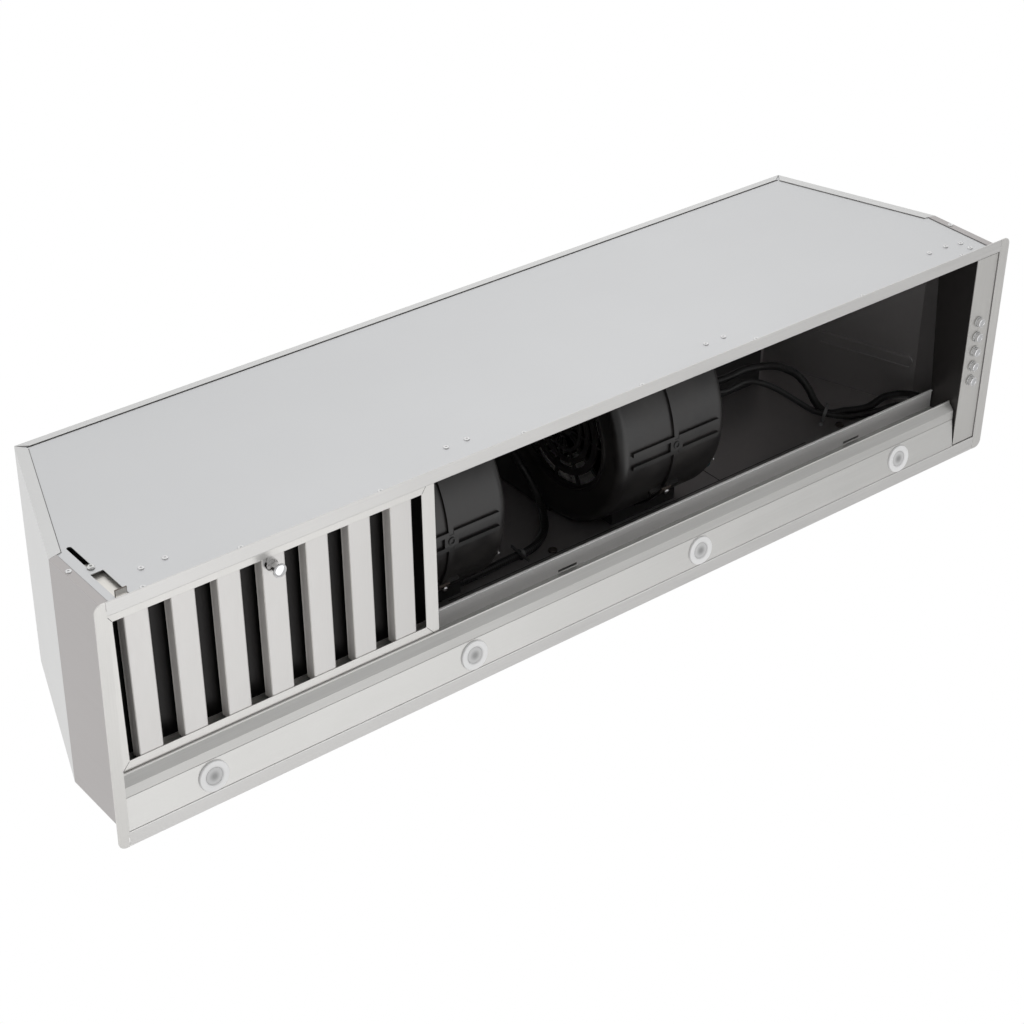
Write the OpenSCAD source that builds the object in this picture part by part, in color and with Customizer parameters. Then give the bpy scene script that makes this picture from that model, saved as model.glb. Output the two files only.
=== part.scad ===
// Range hood insert: a steel liner that is built into a cabinet, seen from below.
// X runs along the length, -Y is the user's side, +Z is up, towards the ducts.
// The origin is the centre of the opening, on the flange's lower face.

/* [Cabinet] */
// Length of the body
body_l = 1194; // [1150:2:1250]
// Depth of the body, front to rear
body_w = 266; // [264:1:290]
// Height of the body above the flange's lower face
body_h = 300; // [299:1:330]
// Height at which the ends start to slope
kink_h = 104; // [98:1:120]
// How far each end slopes inwards
slant_in = 70; // [40:1:80]
// Thickness of the steel sheet
sheet_t = 1; // [0.8:0.1:1.2]
// Width of the strips that fold over the front along the slopes
slant_fold_w = 12.5; // [8:0.5:16]
// Width of the strip that folds over the front along the top
top_fold_w = 8.5; // [6:0.5:12]
// Width of the end panels' folds on the front
end_fold_w = 9.3; // [7:0.1:10]
// Length trimmed off each fold strip at its ends
fold_trim = 8; // [4:0.5:12]

/* [Flange] */
// Width of the flange beyond the left end
flange_left = 11.7; // [10:0.1:16]
// Width of the flange beyond the right end
flange_right = 14; // [10:0.1:20]
// Width of the flange beyond the front
flange_front = 9.3; // [7:0.1:12]
// Width of the flange beyond the rear
flange_rear = 11; // [7:0.1:12]
// How far the flange reaches in under the front and rear walls
flange_in = 6.5; // [5:0.5:8]
// Radius of the flange's corners
flange_r = 9; // [5:0.5:9]
// Height of the rolled outer edge
hem_h = 1.4; // [1.2:0.1:3]
// Height of the flange's inner edge
trim_step_h = 7; // [5:0.5:8]
// Height of the trim's leg inside the wall
trim_leg_h = 24; // [20:1:28]
// Gap where two strips of the flange meet
seam_gap = 0.2; // [0.1:0.1:0.5]

/* [Rivets] */
// Radius of a rivet's head
rivet_r = 3.2; // [2.4:0.1:4]
// Height of a rivet's head
rivet_h = 1.2; // [0.8:0.1:1.8]

/* [Lights] */
// Depth of the light panel, front to rear
light_w = 35.6; // [34:0.1:38]
// Rise of the light panel towards the filter
light_rise = 5.2; // [3:0.1:7]
// Number of lamps
lamp_n = 4; // [3:1:4]
// Distance of the first lamp from the left end of the body
lamp_in = 98.6; // [80:0.1:110]
// Distance of the last lamp from the right end of the body
lamp_out = 134.2; // [120:0.1:150]
// Radius of a lamp's bezel
bezel_r = 16.8; // [15:0.1:17.2]
// How far a bezel stands out
bezel_h = 2.4; // [1.5:0.1:3]
// Radius of a lamp's lens
lens_r = 9.4; // [8:0.1:11]
// Radius of the lamp's can behind the panel
can_r = 12.5; // [11:0.1:13]
// Height of the lamp's can
can_h = 20; // [15:0.5:24]

/* [Filter channel] */
// Distance of the channel's front lip from the rear wall
lip_reach = 63.3; // [61:0.1:65]
// Height of the channel's front lip
lip_h = 16; // [14:0.1:18]
// Width of the channel's flat floor
channel_floor = 11.6; // [10:0.1:14]
// Height of the shelf over the channel
shelf_h = 43; // [41:0.1:45]
// Distance of the shelf's front edge from the rear wall
shelf_reach = 65; // [64:0.1:68]
// Radius of a rolled edge
roll_r = 1.2; // [0.8:0.1:1.6]
// Length of a drain slot in the shelf
slot_l = 26.5; // [15:0.5:40]
// Width of a drain slot in the shelf
slot_w = 3.5; // [2.5:0.1:5]
// Spacing of the drain slots
slot_pitch = 439.5; // [300:0.5:450]

/* [Controls] */
// Width of the control strip
control_w = 34.6; // [34:0.1:36]
// How far the control strip is set back from the flange's face
control_set = 1.5; // [1:0.1:3]
// Height of the control box at the front
control_front_h = 60; // [50:1:64]
// Height of the control box at the rear
control_rear_h = 42; // [36:1:50]
// Number of buttons
button_n = 5; // [3:1:5]
// Spacing of the buttons
button_pitch = 19.9; // [16:0.1:22]
// Radius of a button
button_r = 5.4; // [4.5:0.1:6]
// How far a button stands out
button_out = 7; // [6:0.1:9]
// Travel of a button
button_travel = 3; // [2:0.1:3]
// Width of the ring round a button
ring_w = 1.3; // [1:0.1:2]
// Height of the ring round a button
ring_h = 2; // [1:0.1:2.5]

/* [Baffle filter] */
// Width of the filter, along the length of the body
filter_l = 382; // [360:1:384]
// Clearance between the filter's front edge and the outside of the front wall
filter_gap = 9.5; // [9.2:0.1:14]
// Thickness of the filter
filter_t = 20; // [18:0.5:22]
// Tilt of the filter, front edge up
filter_tilt = 2.43; // [1:0.01:3]
// How far the filter's rear edge reaches past the lip
filter_behind = 7.2; // [6:0.1:10]
// Width of the frame's side rails
side_rail = 16; // [12:0.1:17]
// Width of the frame's front rail
front_rail = 23; // [18:0.1:26]
// Width of the frame's rear rail
rear_rail = 18.2; // [15:0.1:20]
// Number of front slats
slat_n = 7; // [5:1:7]
// Spacing of the slats
slat_pitch = 50; // [46:0.1:50]
// Width of a front slat
slat_w = 26.2; // [22:0.1:28]
// Depth of a front slat's lips
slat_lip = 13; // [9:0.1:13]
// Width of a rear slat
back_w = 37; // [33:0.1:38]
// Depth of a rear slat's lips
back_lip = 12; // [8:0.1:12]
// Thickness of the slats' sheet
slat_t = 0.8; // [0.6:0.1:1]
// Radius of the knob's head
knob_r = 7.4; // [6:0.1:8.5]
// Length of the knob
knob_h = 20; // [16:0.5:22]
// Distance of the knob from the filter's front edge
knob_in = 29.5; // [26:0.5:36]
// Distance of the knob to the left of the filter's middle
knob_left = 4.5; // [0:0.5:8]

/* [Clamps] */
// Distance of a clamp from the end of the body
clamp_in = 25.2; // [24:0.1:26]
// Width of the clamp's window
window_w = 13.4; // [12:0.1:14]
// Height of the clamp's window
window_h = 46.3; // [44:0.1:48]
// Height of the clamp's jaw above the flange's lower face
jaw_h = 16; // [15:0.1:17]
// How far the jaw reaches out of the wall
jaw_out = 5.5; // [4:0.1:8]
// Height of the clamp's screw at rest
clamp_screw_h = 69.3; // [68:0.1:71]
// Travel of the clamp
clamp_travel = 40; // [30:1:41]
// Radius of the clamp's screw head
clamp_head_r = 3.8; // [3.5:0.1:5]

/* [Blowers] */
// Distance of each blower's seam from the middle of the body
blower_x = 158.3; // [156:0.1:162]
// Radius of the scroll
scroll_r = 120.8; // [119:0.1:121]
// Distance of the scroll's centre behind the middle of the body
scroll_y = 11.4; // [10:0.1:13]
// Height of the scroll's centre
scroll_z = 191.5; // [190:0.1:195]
// Half the width of a scroll
scroll_half = 79.5; // [78:0.5:80]
// Rounding of the scroll's edges
scroll_edge = 12; // [8:0.5:14]
// Wall of the scroll
scroll_t = 2.5; // [2:0.1:3]
// Distance of the wheel's axle behind the middle of the body
wheel_y = 7.5; // [6:0.1:9]
// Height of the wheel's axle
wheel_z = 177.3; // [175:0.1:180]
// Radius of the wheel
wheel_r = 84; // [82:0.5:88]
// Half the length of the wheel
wheel_half = 64; // [60:0.5:65]
// Number of blades on each side of the wheel
blade_n = 30; // [20:1:36]
// Radius of the inlets
inlet_r = 75; // [73:0.1:76]
// Radius of the motor
motor_r = 45; // [40:0.5:50]
// Radius of the motor's shaft
shaft_r = 4; // [3:0.1:5]

/* [Ducts] */
// Outer radius of the duct collars
collar_r = 75; // [74:0.5:75.5]
// Height of the duct collars
collar_h = 90; // [80:1:100]
// Width of a collar's base flange
collar_flange = 11; // [8:0.5:11.5]
// Distance of the collars behind the middle of the body
collar_y = 45; // [42:0.5:46]
// Height of the damper's hinge above the top panel
damper_z = 12; // [10:0.5:16]
// Radius of the damper's hinge pin
damper_pin_r = 2.5; // [2:0.1:3]
// Radius of the knockout for the power cable
knockout_r = 11.1; // [10:0.1:14]

/* [Cables] */
// Radius of the cable conduits
conduit_r = 5; // [4:0.1:5.2]
// Radius of the thinner cable
cable_r = 3.8; // [3:0.1:4]
// Radius of the light harness
harness_r = 2; // [1.5:0.1:2]

/* [Hidden] */
// Overrun of every cut
over = 1;
// Sides of a round
$fn = 64;
// Clearance between pieces that move past each other
slip = 0.4;
// Radial clearance of a shaft or button in its hole
fit = 0.1;
half_l = body_l / 2;
half_w = body_w / 2;
top_l = half_l - slant_in;
// Inner faces of the walls: the folds lie outside the front and rear sheets
wall_out = half_w - sheet_t;
wall_in = half_w - 2 * sheet_t;
end_in = half_l - sheet_t;
top_in = body_h - sheet_t;
flange_y_in = half_w - flange_in;

// The outline of the body seen from the front, and helpers for bent sheet
outline = [
    [-half_l, 0],
    [-half_l, kink_h],
    [-top_l, body_h],
    [top_l, body_h],
    [half_l, kink_h],
    [half_l, 0]
];
function unit(a, b) = (b - a) / norm(b - a);
function right_of(v) = [v[1], -v[0]];
function side_a(p, i) = right_of(i > 0 ? unit(p[i - 1], p[i]) : unit(p[i], p[i + 1]));
function side_b(p, i) = i < len(p) - 1 ? right_of(unit(p[i], p[i + 1])) : side_a(p, i);
// The point t to the right of corner i of the line p
function inset(p, i, t) =
    let (a = side_a(p, i), b = side_b(p, i))
    p[i] + t * (a + b) / (1 + a * b);
// The outline of a sheet t thick that lies to the right of the line p
function bent(p, t) = concat(p, [for (i = [len(p) - 1:-1:0]) inset(p, i, t)]);

// Extrusions of an outline in the YZ plane along X, and of one in the XZ plane along Y
module along_x(x0, x1) {
    translate([x0, 0, 0])
        rotate([90, 0, 90])
            linear_extrude(height = x1 - x0) children();
}
module along_y(y0, y1) {
    translate([0, y1, 0])
        rotate([90, 0, 0])
            linear_extrude(height = y1 - y0) children();
}
// A box between two corners
module block(a, b) {
    translate(a) cube(b - a);
}
// A rod along X between two ends
module rod_x(x0, x1, y, z, r) {
    translate([x0, y, z])
        rotate([0, 90, 0]) cylinder(r = r, h = x1 - x0);
}
// A rod up from z0 to z1
module post(x, y, z0, z1, r) {
    translate([x, y, z0]) cylinder(r = r, h = z1 - z0);
}

// Walls

panel_pts = [for (i = [0:len(outline) - 1]) inset(outline, i, sheet_t)];
clamp_x = -(half_l - clamp_in);
window_z = jaw_h - 2 * sheet_t;
slot_r = 2.6;
screw_r = 2.2;
slot_x = clamp_x - 2 * slip;
slot_z0 = clamp_screw_h - slot_r;
slot_z1 = clamp_screw_h + clamp_travel + slot_r;

// The front sheet, with the clamp's window and slot at its left end
module wall_sheet() {
    difference() {
        along_y(-wall_out, -wall_in)
            polygon([
                [panel_pts[0][0], sheet_t],
                panel_pts[1],
                panel_pts[2],
                panel_pts[3],
                panel_pts[4],
                [panel_pts[5][0], sheet_t]
            ]);
        clamp_cut(half_w, wall_in);
    }
}
module clamp_cut(y0, y1) {
    block(
        [clamp_x - window_w / 2, -y0 - over, window_z],
        [clamp_x + window_w / 2, -y1 + over, window_z + window_h]
    );
    along_y(-y0 - over, -y1 + over) {
        translate([slot_x, slot_z0 + slot_r]) circle(r = slot_r);
        translate([slot_x, slot_z1 - slot_r]) circle(r = slot_r);
        translate([slot_x - slot_r, slot_z0 + slot_r])
            square([2 * slot_r, slot_z1 - slot_z0 - 2 * slot_r]);
    }
}
module front_panel() {
    color("gainsboro") wall_sheet();
}
module rear_panel() {
    color("gainsboro") rotate([0, 0, 180]) wall_sheet();
}

// The sheet over the top and both slopes, folded over the front and rear sheets
slope_dir = unit(outline[1], outline[2]);
slope_in = right_of(slope_dir);
slope_bottom = outline[1] + slant_fold_w * slope_in + fold_trim * slope_dir;
slope_top = outline[2] + slant_fold_w * slope_in - fold_trim * slope_dir;
top_fold_in = top_fold_w + fold_trim / 2;
rib_len_share = 0.62;
rib_r = 8.5;
rib_up = 2;
rib_y = 70;
rib_start = 4;
module slope_fold() {
    polygon([outline[1], outline[2], slope_top, slope_bottom]);
}
module fold_strips() {
    slope_fold();
    mirror([1, 0, 0]) slope_fold();
    polygon([
        outline[2],
        outline[3],
        [top_l - top_fold_in, body_h - top_fold_w],
        [top_fold_in - top_l, body_h - top_fold_w]
    ]);
}
// A raised stiffening bead on the inside of a slope
module slope_bead() {
    run = norm(outline[2] - outline[1]);
    lean = atan2(slope_dir[0], slope_dir[1]);
    translate([outline[1][0], 0, outline[1][1]])
        rotate([0, lean, 0])
            translate([sheet_t / 2, rib_y, 0])
                rotate([0, 90, 0]) {
                    linear_extrude(height = rib_up + sheet_t / 2) {
                        translate([-rib_start - rib_r, 0]) circle(r = rib_r);
                        translate([-run * rib_len_share, 0]) circle(r = rib_r);
                        translate([-run * rib_len_share, -rib_r])
                            square([run * rib_len_share - rib_start - rib_r, 2 * rib_r]);
                    }
                }
}
module top_wrap_panel() {
    color("silver") {
        difference() {
            union() {
                along_y(-half_w, half_w)
                    polygon([
                        outline[1],
                        outline[2],
                        outline[3],
                        outline[4],
                        panel_pts[4],
                        panel_pts[3],
                        panel_pts[2],
                        panel_pts[1]
                    ]);
                along_y(-half_w, -wall_out) fold_strips();
                along_y(wall_out, half_w) fold_strips();
                slope_bead();
                mirror([1, 0, 0]) slope_bead();
            }
            for (s = [-1, 1])
                post(s * blower_x, collar_y, top_in - over, body_h + over, collar_r - sheet_t);
            post(knockout_x, knockout_y, top_in - over, body_h + over, knockout_r);
        }
    }
}

// Flange

module flange_outline(grow) {
    l = half_l + (flange_left + flange_right) / 2 - grow;
    w = half_w + (flange_front + flange_rear) / 2 - grow;
    r = flange_r - grow;
    translate([(flange_right - flange_left) / 2, (flange_rear - flange_front) / 2]) {
        square([2 * (l - r), 2 * w], center = true);
        square([2 * l, 2 * (w - r)], center = true);
        for (x = [-1, 1], y = [-1, 1])
            translate([x * (l - r), y * (w - r)]) circle(r = r);
    }
}
module flange_plate() {
    linear_extrude(height = sheet_t) flange_outline(0);
    linear_extrude(height = hem_h)
        difference() {
            flange_outline(0);
            flange_outline(sheet_t);
        }
}

// An end panel: the flange's strip at one end, and the sheet with its folds over front and rear
fold_rise_share = 0.228;
module end_strip(x0, x1) {
    intersection() {
        flange_plate();
        block(
            [x0, -half_w - flange_front - over, -over],
            [x1, half_w + flange_rear + over, hem_h + over]
        );
    }
}
module end_sheet() {
    x0 = -half_l;
    along_y(-half_w, half_w)
        polygon([
            [x0 - sheet_t, 0],
            [x0 - sheet_t, sheet_t],
            [x0, sheet_t],
            outline[1],
            panel_pts[1],
            panel_pts[0]
        ]);
    for (y = [-half_w, wall_out])
        along_y(y, y + sheet_t)
            polygon([
                [x0, hem_h + sheet_t],
                outline[1],
                [x0 + end_fold_w, kink_h + end_fold_w * fold_rise_share - seam_gap],
                [x0 + end_fold_w, hem_h + sheet_t]
            ]);
}
module left_end_panel() {
    color("darkgray") {
        end_strip(-half_l - flange_left - over, -half_l);
        end_sheet();
    }
}
module right_end_panel() {
    color("darkgray") {
        end_strip(half_l, half_l + flange_right + over);
        mirror([1, 0, 0]) end_sheet();
    }
}

// The front strip of the flange: a bent sheet whose leg lies inside the wall
trim_line = [
    [-flange_y_in, 0],
    [-flange_y_in, trim_step_h],
    [-wall_in + sheet_t, trim_step_h + flange_in - 2 * sheet_t],
    [-wall_in + sheet_t, trim_leg_h],
    [-wall_in, trim_leg_h],
    [-wall_in, trim_step_h + flange_in - 2 * sheet_t],
    [-flange_y_in - sheet_t, trim_step_h],
    [-flange_y_in - sheet_t, sheet_t],
    [-half_w, sheet_t],
    [-half_w, 0]
];
// The outer half of a strip is cut from the flange's plate, on one side of the body
module strip_edge(y0, y1) {
    intersection() {
        flange_plate();
        block([seam_gap - half_l, y0, -over], [half_l - seam_gap, y1, hem_h + over]);
    }
}
module strip_leg() {
    difference() {
        along_x(seam_gap - end_in, end_in - seam_gap) polygon(trim_line);
        block(
            [clamp_x - jaw_cut, -half_w - over, window_z - over],
            [clamp_x + jaw_cut, over - flange_y_in, trim_leg_h + over]
        );
    }
}
module front_trim() {
    color("whitesmoke") {
        strip_edge(-half_w - flange_front - over, -half_w);
        strip_leg();
    }
}
module rear_trim() {
    color("silver") {
        strip_edge(half_w, half_w + flange_rear + over);
        rotate([0, 0, 180]) strip_leg();
    }
}

// Pop rivets: heads on the outside of the front and rear
rivet_flange_z = 13.4;
// Distance from the left end and height of each, then the same from the right end
left_rivets = [[60.4, 41], [86.5, 42], [410, 39.2], [436, 39.2]];
right_rivets = [[433, 38.6], [407, 38.6], [78, 41], [50.5, 41], [30, 36.3], [30, 21.2]];
flange_rivet_shares = [-0.923, -0.747, -0.479, -0.181, 0.085, 0.36, 0.6365, 0.913];
fold_rivet_z = 75.2;
dimple_r = 1;
rivet_edge_share = 0.75;
module rivet() {
    rotate([90, 0, 0])
        rotate_extrude()
            polygon([
                [0, 0],
                [rivet_r, 0],
                [rivet_r, rivet_h / 3],
                [rivet_r - rivet_h / 2, rivet_h * rivet_edge_share],
                [dimple_r + rivet_h / 2, rivet_h],
                [dimple_r, rivet_h],
                [dimple_r, rivet_h / 2],
                [0, rivet_h / 2]
            ]);
}
module wall_rivets() {
    for (p = left_rivets) translate([p[0] - half_l, -wall_out, p[1]]) rivet();
    for (p = right_rivets) translate([half_l - p[0], -wall_out, p[1]]) rivet();
    for (k = flange_rivet_shares) translate([k * half_l, -wall_out, rivet_flange_z]) rivet();
    for (s = [-1, 1])
        translate([s * (half_l - end_fold_w / 2), -half_w, fold_rivet_z]) rivet();
}
module body_rivets() {
    color("lightgray") {
        wall_rivets();
        rotate([0, 0, 180]) wall_rivets();
    }
}

// Light panel, between the rear strip and the filter channel

light_y1 = flange_y_in - slip;
light_y0 = light_y1 - light_w;
light_set_share = 0.8;
light_z = sheet_t * light_set_share;
light_lean = atan2(light_rise, light_w);
light_back_h = 12;
light_front_h = 14;
inner_l = end_in - slip;
control_x = half_l - control_w - 2 * sheet_t;
strip_gap = 1.6;
channel_x1 = control_x - strip_gap;
lamp_hole = can_r + slip;
// Places a lamp at the middle of the inclined panel, axis square to it
lamp_mid_share = 0.49;
lamp_x0 = lamp_in - half_l;
lamp_pitch = (body_l - lamp_in - lamp_out) / (lamp_n - 1);
module at_lamps() {
    for (i = [0:lamp_n - 1])
        translate([
            lamp_x0 + i * lamp_pitch,
            light_y1 - light_w * lamp_mid_share,
            light_z + light_rise * lamp_mid_share
        ])
            rotate([-light_lean, 0, 0]) children();
}
module light_panel() {
    color("gainsboro")
        difference() {
            along_x(-inner_l, channel_x1)
                polygon(bent([
                    [light_y0, light_z + light_rise + light_front_h],
                    [light_y0, light_z + light_rise],
                    [light_y1, light_z],
                    [light_y1, light_z + light_back_h]
                ], -sheet_t));
            at_lamps() translate([0, 0, -over]) cylinder(r = lamp_hole, h = 3 * sheet_t + over);
        }
}
module led_bezels() {
    color("white")
        at_lamps()
            translate([0, 0, -bezel_h])
                rotate_extrude()
                    polygon([
                        [lens_r + fit, 0],
                        [bezel_r - bezel_h / 2, 0],
                        [bezel_r, bezel_h / 2],
                        [bezel_r, bezel_h],
                        [lens_r + fit, bezel_h]
                    ]);
}
lens_share = 0.7;
module led_lenses() {
    color("lightgray")
        at_lamps()
            translate([0, 0, -bezel_h * lens_share]) cylinder(r = lens_r, h = bezel_h * lens_share);
}
module led_cans() {
    color("dimgray")
        at_lamps() cylinder(r = can_r, h = can_h);
}

// Filter channel: the front lip, and the shelf that covers it

lip_y0 = wall_in - lip_reach;
web_y = light_y0 - slip;
web_top = shelf_h - sheet_t;
web_flange = 11;
floor_y = web_y - channel_floor;
floor_z = light_z + light_rise;
module filter_lip() {
    color("silver") {
        along_x(-inner_l, channel_x1)
            polygon(bent([
                [web_y + web_flange, web_top],
                [web_y, web_top],
                [web_y, floor_z],
                [floor_y, floor_z + sheet_t / 4],
                [lip_y0 + roll_r, lip_h - roll_r]
            ], sheet_t));
        rod_x(-inner_l, channel_x1, lip_y0 + roll_r, lip_h - roll_r, roll_r);
    }
}
shelf_y0 = wall_in - shelf_reach;
shelf_back_h = 18;
slot_y = web_y - 2 * sheet_t;
channel_mid = (channel_x1 - inner_l) / 2;
module rear_shelf() {
    color("gray") {
        difference() {
            along_x(-inner_l, channel_x1)
                polygon(bent([
                    [shelf_y0 + roll_r, shelf_h],
                    [wall_in, shelf_h],
                    [wall_in, shelf_h + shelf_back_h]
                ], -sheet_t));
            for (i = [-1:1])
                block(
                    [channel_mid + i * slot_pitch - slot_l / 2, slot_y - slot_w, shelf_h - over],
                    [channel_mid + i * slot_pitch + slot_l / 2, slot_y, shelf_h + sheet_t + over]
                );
        }
        rod_x(-inner_l, channel_x1, shelf_y0 + roll_r, shelf_h + roll_r, roll_r);
    }
}

// Driver and harness of the lamps, in the closed space behind the light panel
driver_l = 110;
driver_w = 21;
driver_h = 20;
driver_x = -30;
module led_driver() {
    color("black")
        block(
            [driver_x - driver_l, light_y1 - driver_w - 2 * sheet_t, shelf_h - driver_h],
            [driver_x, light_y1 - 2 * sheet_t, shelf_h]
        );
}
harness_y = light_y0 + sheet_t + slip + harness_r;
harness_z = light_z + light_rise + sheet_t + harness_r;
module light_harness() {
    color("black")
        rod_x(lamp_x0, channel_x1, harness_y, harness_z, harness_r);
}

// Control strip at the right end

control_x1 = end_in - slip;
control_y = flange_y_in - sheet_t - fit;
panel_z = control_set + sheet_t;
button_in = 21.5;
button_x = half_l - button_in;
button_shift_share = 0.05;
button_y0 = -((button_n - 1) / 2 + button_shift_share) * button_pitch;
button_bore = button_r + fit;
module at_buttons() {
    for (i = [0:button_n - 1])
        translate([button_x, button_y0 + i * button_pitch, 0]) children();
}
module control_panel() {
    color("silver")
        difference() {
            block([control_x, -control_y, control_set], [control_x1, control_y, panel_z]);
            at_buttons() post(0, 0, control_set - over, panel_z + over, button_bore);
        }
}
module button_rings() {
    color("silver")
        at_buttons()
            difference() {
                post(0, 0, control_set - ring_h, control_set, button_bore + ring_w);
                post(0, 0, control_set - ring_h - over, control_set + over, button_bore);
            }
}
button_tail = 6;
button_top = panel_z + button_tail;
collar_lift = 0.3;
collar_t = 1.5;
module button(i) {
    color("whitesmoke")
        translate([button_x, button_y0 + i * button_pitch, 0])
            rotate_extrude()
                polygon([
                    [0, control_set - button_out],
                    [button_r - sheet_t / 2, control_set - button_out],
                    [button_r, control_set - button_out + sheet_t / 2],
                    [button_r, panel_z + collar_lift],
                    [button_r + ring_w, panel_z + collar_lift],
                    [button_r + ring_w, panel_z + collar_lift + collar_t],
                    [button_r / 2, panel_z + collar_lift + collar_t],
                    [button_r / 2, button_top],
                    [0, button_top]
                ]);
}
// Box over the switches: its top follows the filter's tilt
module control_profile(t, z) {
    polygon([
        [t - control_y, z],
        [control_y - t, z],
        [control_y - t, control_rear_h - t],
        [t - control_y, control_front_h - t]
    ]);
}
// Places between the right blower and the right end, and between the blowers' axis and
// the rear wall, which keep their shares of those stretches
run_x0 = 158.3;
run_l = 438.7;
run_y0 = 11.4;
run_w = 119.6;
function along_run(x) = blower_x + (x - run_x0) * (half_l - blower_x) / run_l;
function across_run(y) = scroll_y + (y - run_y0) * (wall_in - scroll_y) / run_w;
function deepened(route) = [for (p = route) [p[0], across_run(p[1]), p[2]]];
function stretched(route) = [for (p = deepened(route)) [along_run(p[0]), p[1], p[2]]];
gland_x_shares = [0.9362, 0.9704];
gland_y_share = 0.7742;
gland_xs = [for (k = gland_x_shares) blower_x + k * (half_l - blower_x)];
gland_y = scroll_y + gland_y_share * (wall_in - scroll_y);
module control_box() {
    color("dimgray")
        difference() {
            along_x(control_x + slip, control_x1 - slip) control_profile(0, panel_z);
            along_x(control_x + slip + sheet_t, control_x1 - slip - sheet_t)
                control_profile(sheet_t, panel_z - over);
            for (x = gland_xs) post(x, gland_y, panel_z + over, body_h, conduit_r + slip);
        }
}
switch_z = button_top + button_travel + slip;
switch_h = 8;
board_t = 1.6;
board_w = 24;
switch_half = 5.5;
standoff_r = 2;
board_half = (button_n - 1) * button_pitch / 2 + 2 * switch_half;
module switch_board() {
    color("darkgreen") {
        at_buttons()
            block([-switch_half, -switch_half, switch_z], [switch_half, switch_half, switch_z + switch_h]);
        block(
            [button_x - board_w / 2, -board_half, switch_z + switch_h],
            [button_x + board_w / 2, board_half, switch_z + switch_h + board_t]
        );
        for (x = [-1, 1], y = [-1, 1])
            post(
                button_x + x * (board_w / 2 - standoff_r),
                y * (board_half - standoff_r),
                panel_z, switch_z + switch_h + board_t / 2, standoff_r
            );
    }
}

// Baffle filter: its frame of reference lies on the lip, tilted with the filter

pivot_y = lip_y0 + roll_r;
pivot_z = lip_h + collar_lift;
filter_x = -end_in + collar_lift + filter_l / 2;
filter_y0 = filter_gap - half_w - pivot_y;
open_x = filter_l / 2 - side_rail;
open_y0 = filter_y0 + front_rail;
open_y1 = filter_behind - rear_rail;
tuck = 6;
module in_filter() {
    translate([filter_x, pivot_y, pivot_z])
        rotate([-filter_tilt, 0, 0]) children();
}
module filter_frame() {
    color("silver")
        in_filter()
            difference() {
                block([-filter_l / 2, filter_y0, 0], [filter_l / 2, filter_behind, filter_t]);
                block([-open_x, open_y0, -over], [open_x, open_y1, filter_t + over]);
                block(
                    [sheet_t - filter_l / 2, filter_y0 + sheet_t, sheet_t],
                    [filter_l / 2 - sheet_t, filter_behind - sheet_t, filter_t - sheet_t]
                );
            }
}
// A slat is a channel: its face is down in front and up behind
module slat(x, w, lip, up) {
    y0 = open_y0 - tuck;
    y1 = open_y1 + tuck;
    z0 = up ? sheet_t : filter_t - sheet_t - slat_t;
    s = up ? 1 : -1;
    block([x - w / 2, y0, z0], [x + w / 2, y1, z0 + slat_t]);
    z1 = up ? z0 : z0 + slat_t - lip;
    for (e = [x - w / 2, x + w / 2 - slat_t])
        block([e, y0, z1], [e + slat_t, y1, z1 + lip]);
}
stud_r = 2;
knob_y = filter_y0 + knob_in;
module front_baffles() {
    color("gainsboro")
        in_filter()
            difference() {
                for (i = [0:slat_n - 1])
                    slat((i - (slat_n - 1) / 2) * slat_pitch, slat_w, slat_lip, true);
                post(-knob_left, knob_y, 0, filter_t, stud_r + fit);
            }
}
module rear_baffles() {
    edge = filter_l / 2 - sheet_t;
    last = slat_n / 2 * slat_pitch - back_w / 2;
    zb = filter_t - sheet_t - slat_t;
    color("gray")
        in_filter() {
            for (i = [0:slat_n - 2])
                slat((i - (slat_n - 2) / 2) * slat_pitch, back_w, back_lip, false);
            for (s = [0, 1])
                mirror([s, 0, 0]) {
                    block([last, open_y0 - tuck, zb], [edge, open_y1 + tuck, zb + slat_t]);
                    block(
                        [last, open_y0 - tuck, zb + slat_t - back_lip],
                        [last + slat_t, open_y1 + tuck, zb + slat_t]
                    );
                }
        }
}
knob_neck_r = 4.6;
knob_body_r = 6.8;
knob_head_t = 3.6;
knob_round = 1;
nut_r = 4;
nut_h = 3;
module filter_knob() {
    color("whitesmoke")
        in_filter()
            translate([-knob_left, knob_y, sheet_t])
                rotate_extrude()
                    polygon([
                        [0, -knob_h],
                        [knob_r - knob_round, -knob_h],
                        [knob_r, knob_round - knob_h],
                        [knob_r, knob_head_t - knob_h - knob_round],
                        [knob_neck_r, knob_head_t - knob_h],
                        [knob_neck_r, -knob_h / 2],
                        [knob_body_r - knob_round, -knob_h / 3],
                        [knob_body_r, -knob_h / 4],
                        [knob_body_r, 0],
                        [stud_r, 0],
                        [stud_r, slat_t],
                        [nut_r, slat_t],
                        [nut_r, slat_t + nut_h],
                        [0, slat_t + nut_h]
                    ]);
}
// Leaf springs on the front rail, which hold the filter up against the trim
spring_l = 30;
spring_out = 1.6;
spring_h = 10;
spring_x_share = 0.34;
spring_z = 4;
module filter_springs() {
    color("lightgray")
        in_filter()
            for (s = [-1, 1])
                translate([s * filter_l * spring_x_share, filter_y0, spring_z])
                    linear_extrude(height = spring_h)
                        polygon([
                            [-spring_l / 2, 0],
                            [-spring_l / 4, -spring_out],
                            [spring_l / 4, -spring_out],
                            [spring_l / 2, 0]
                        ]);
}

// Cabinet clamps: a bracket inside the wall whose jaw reaches out above the flange

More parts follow.
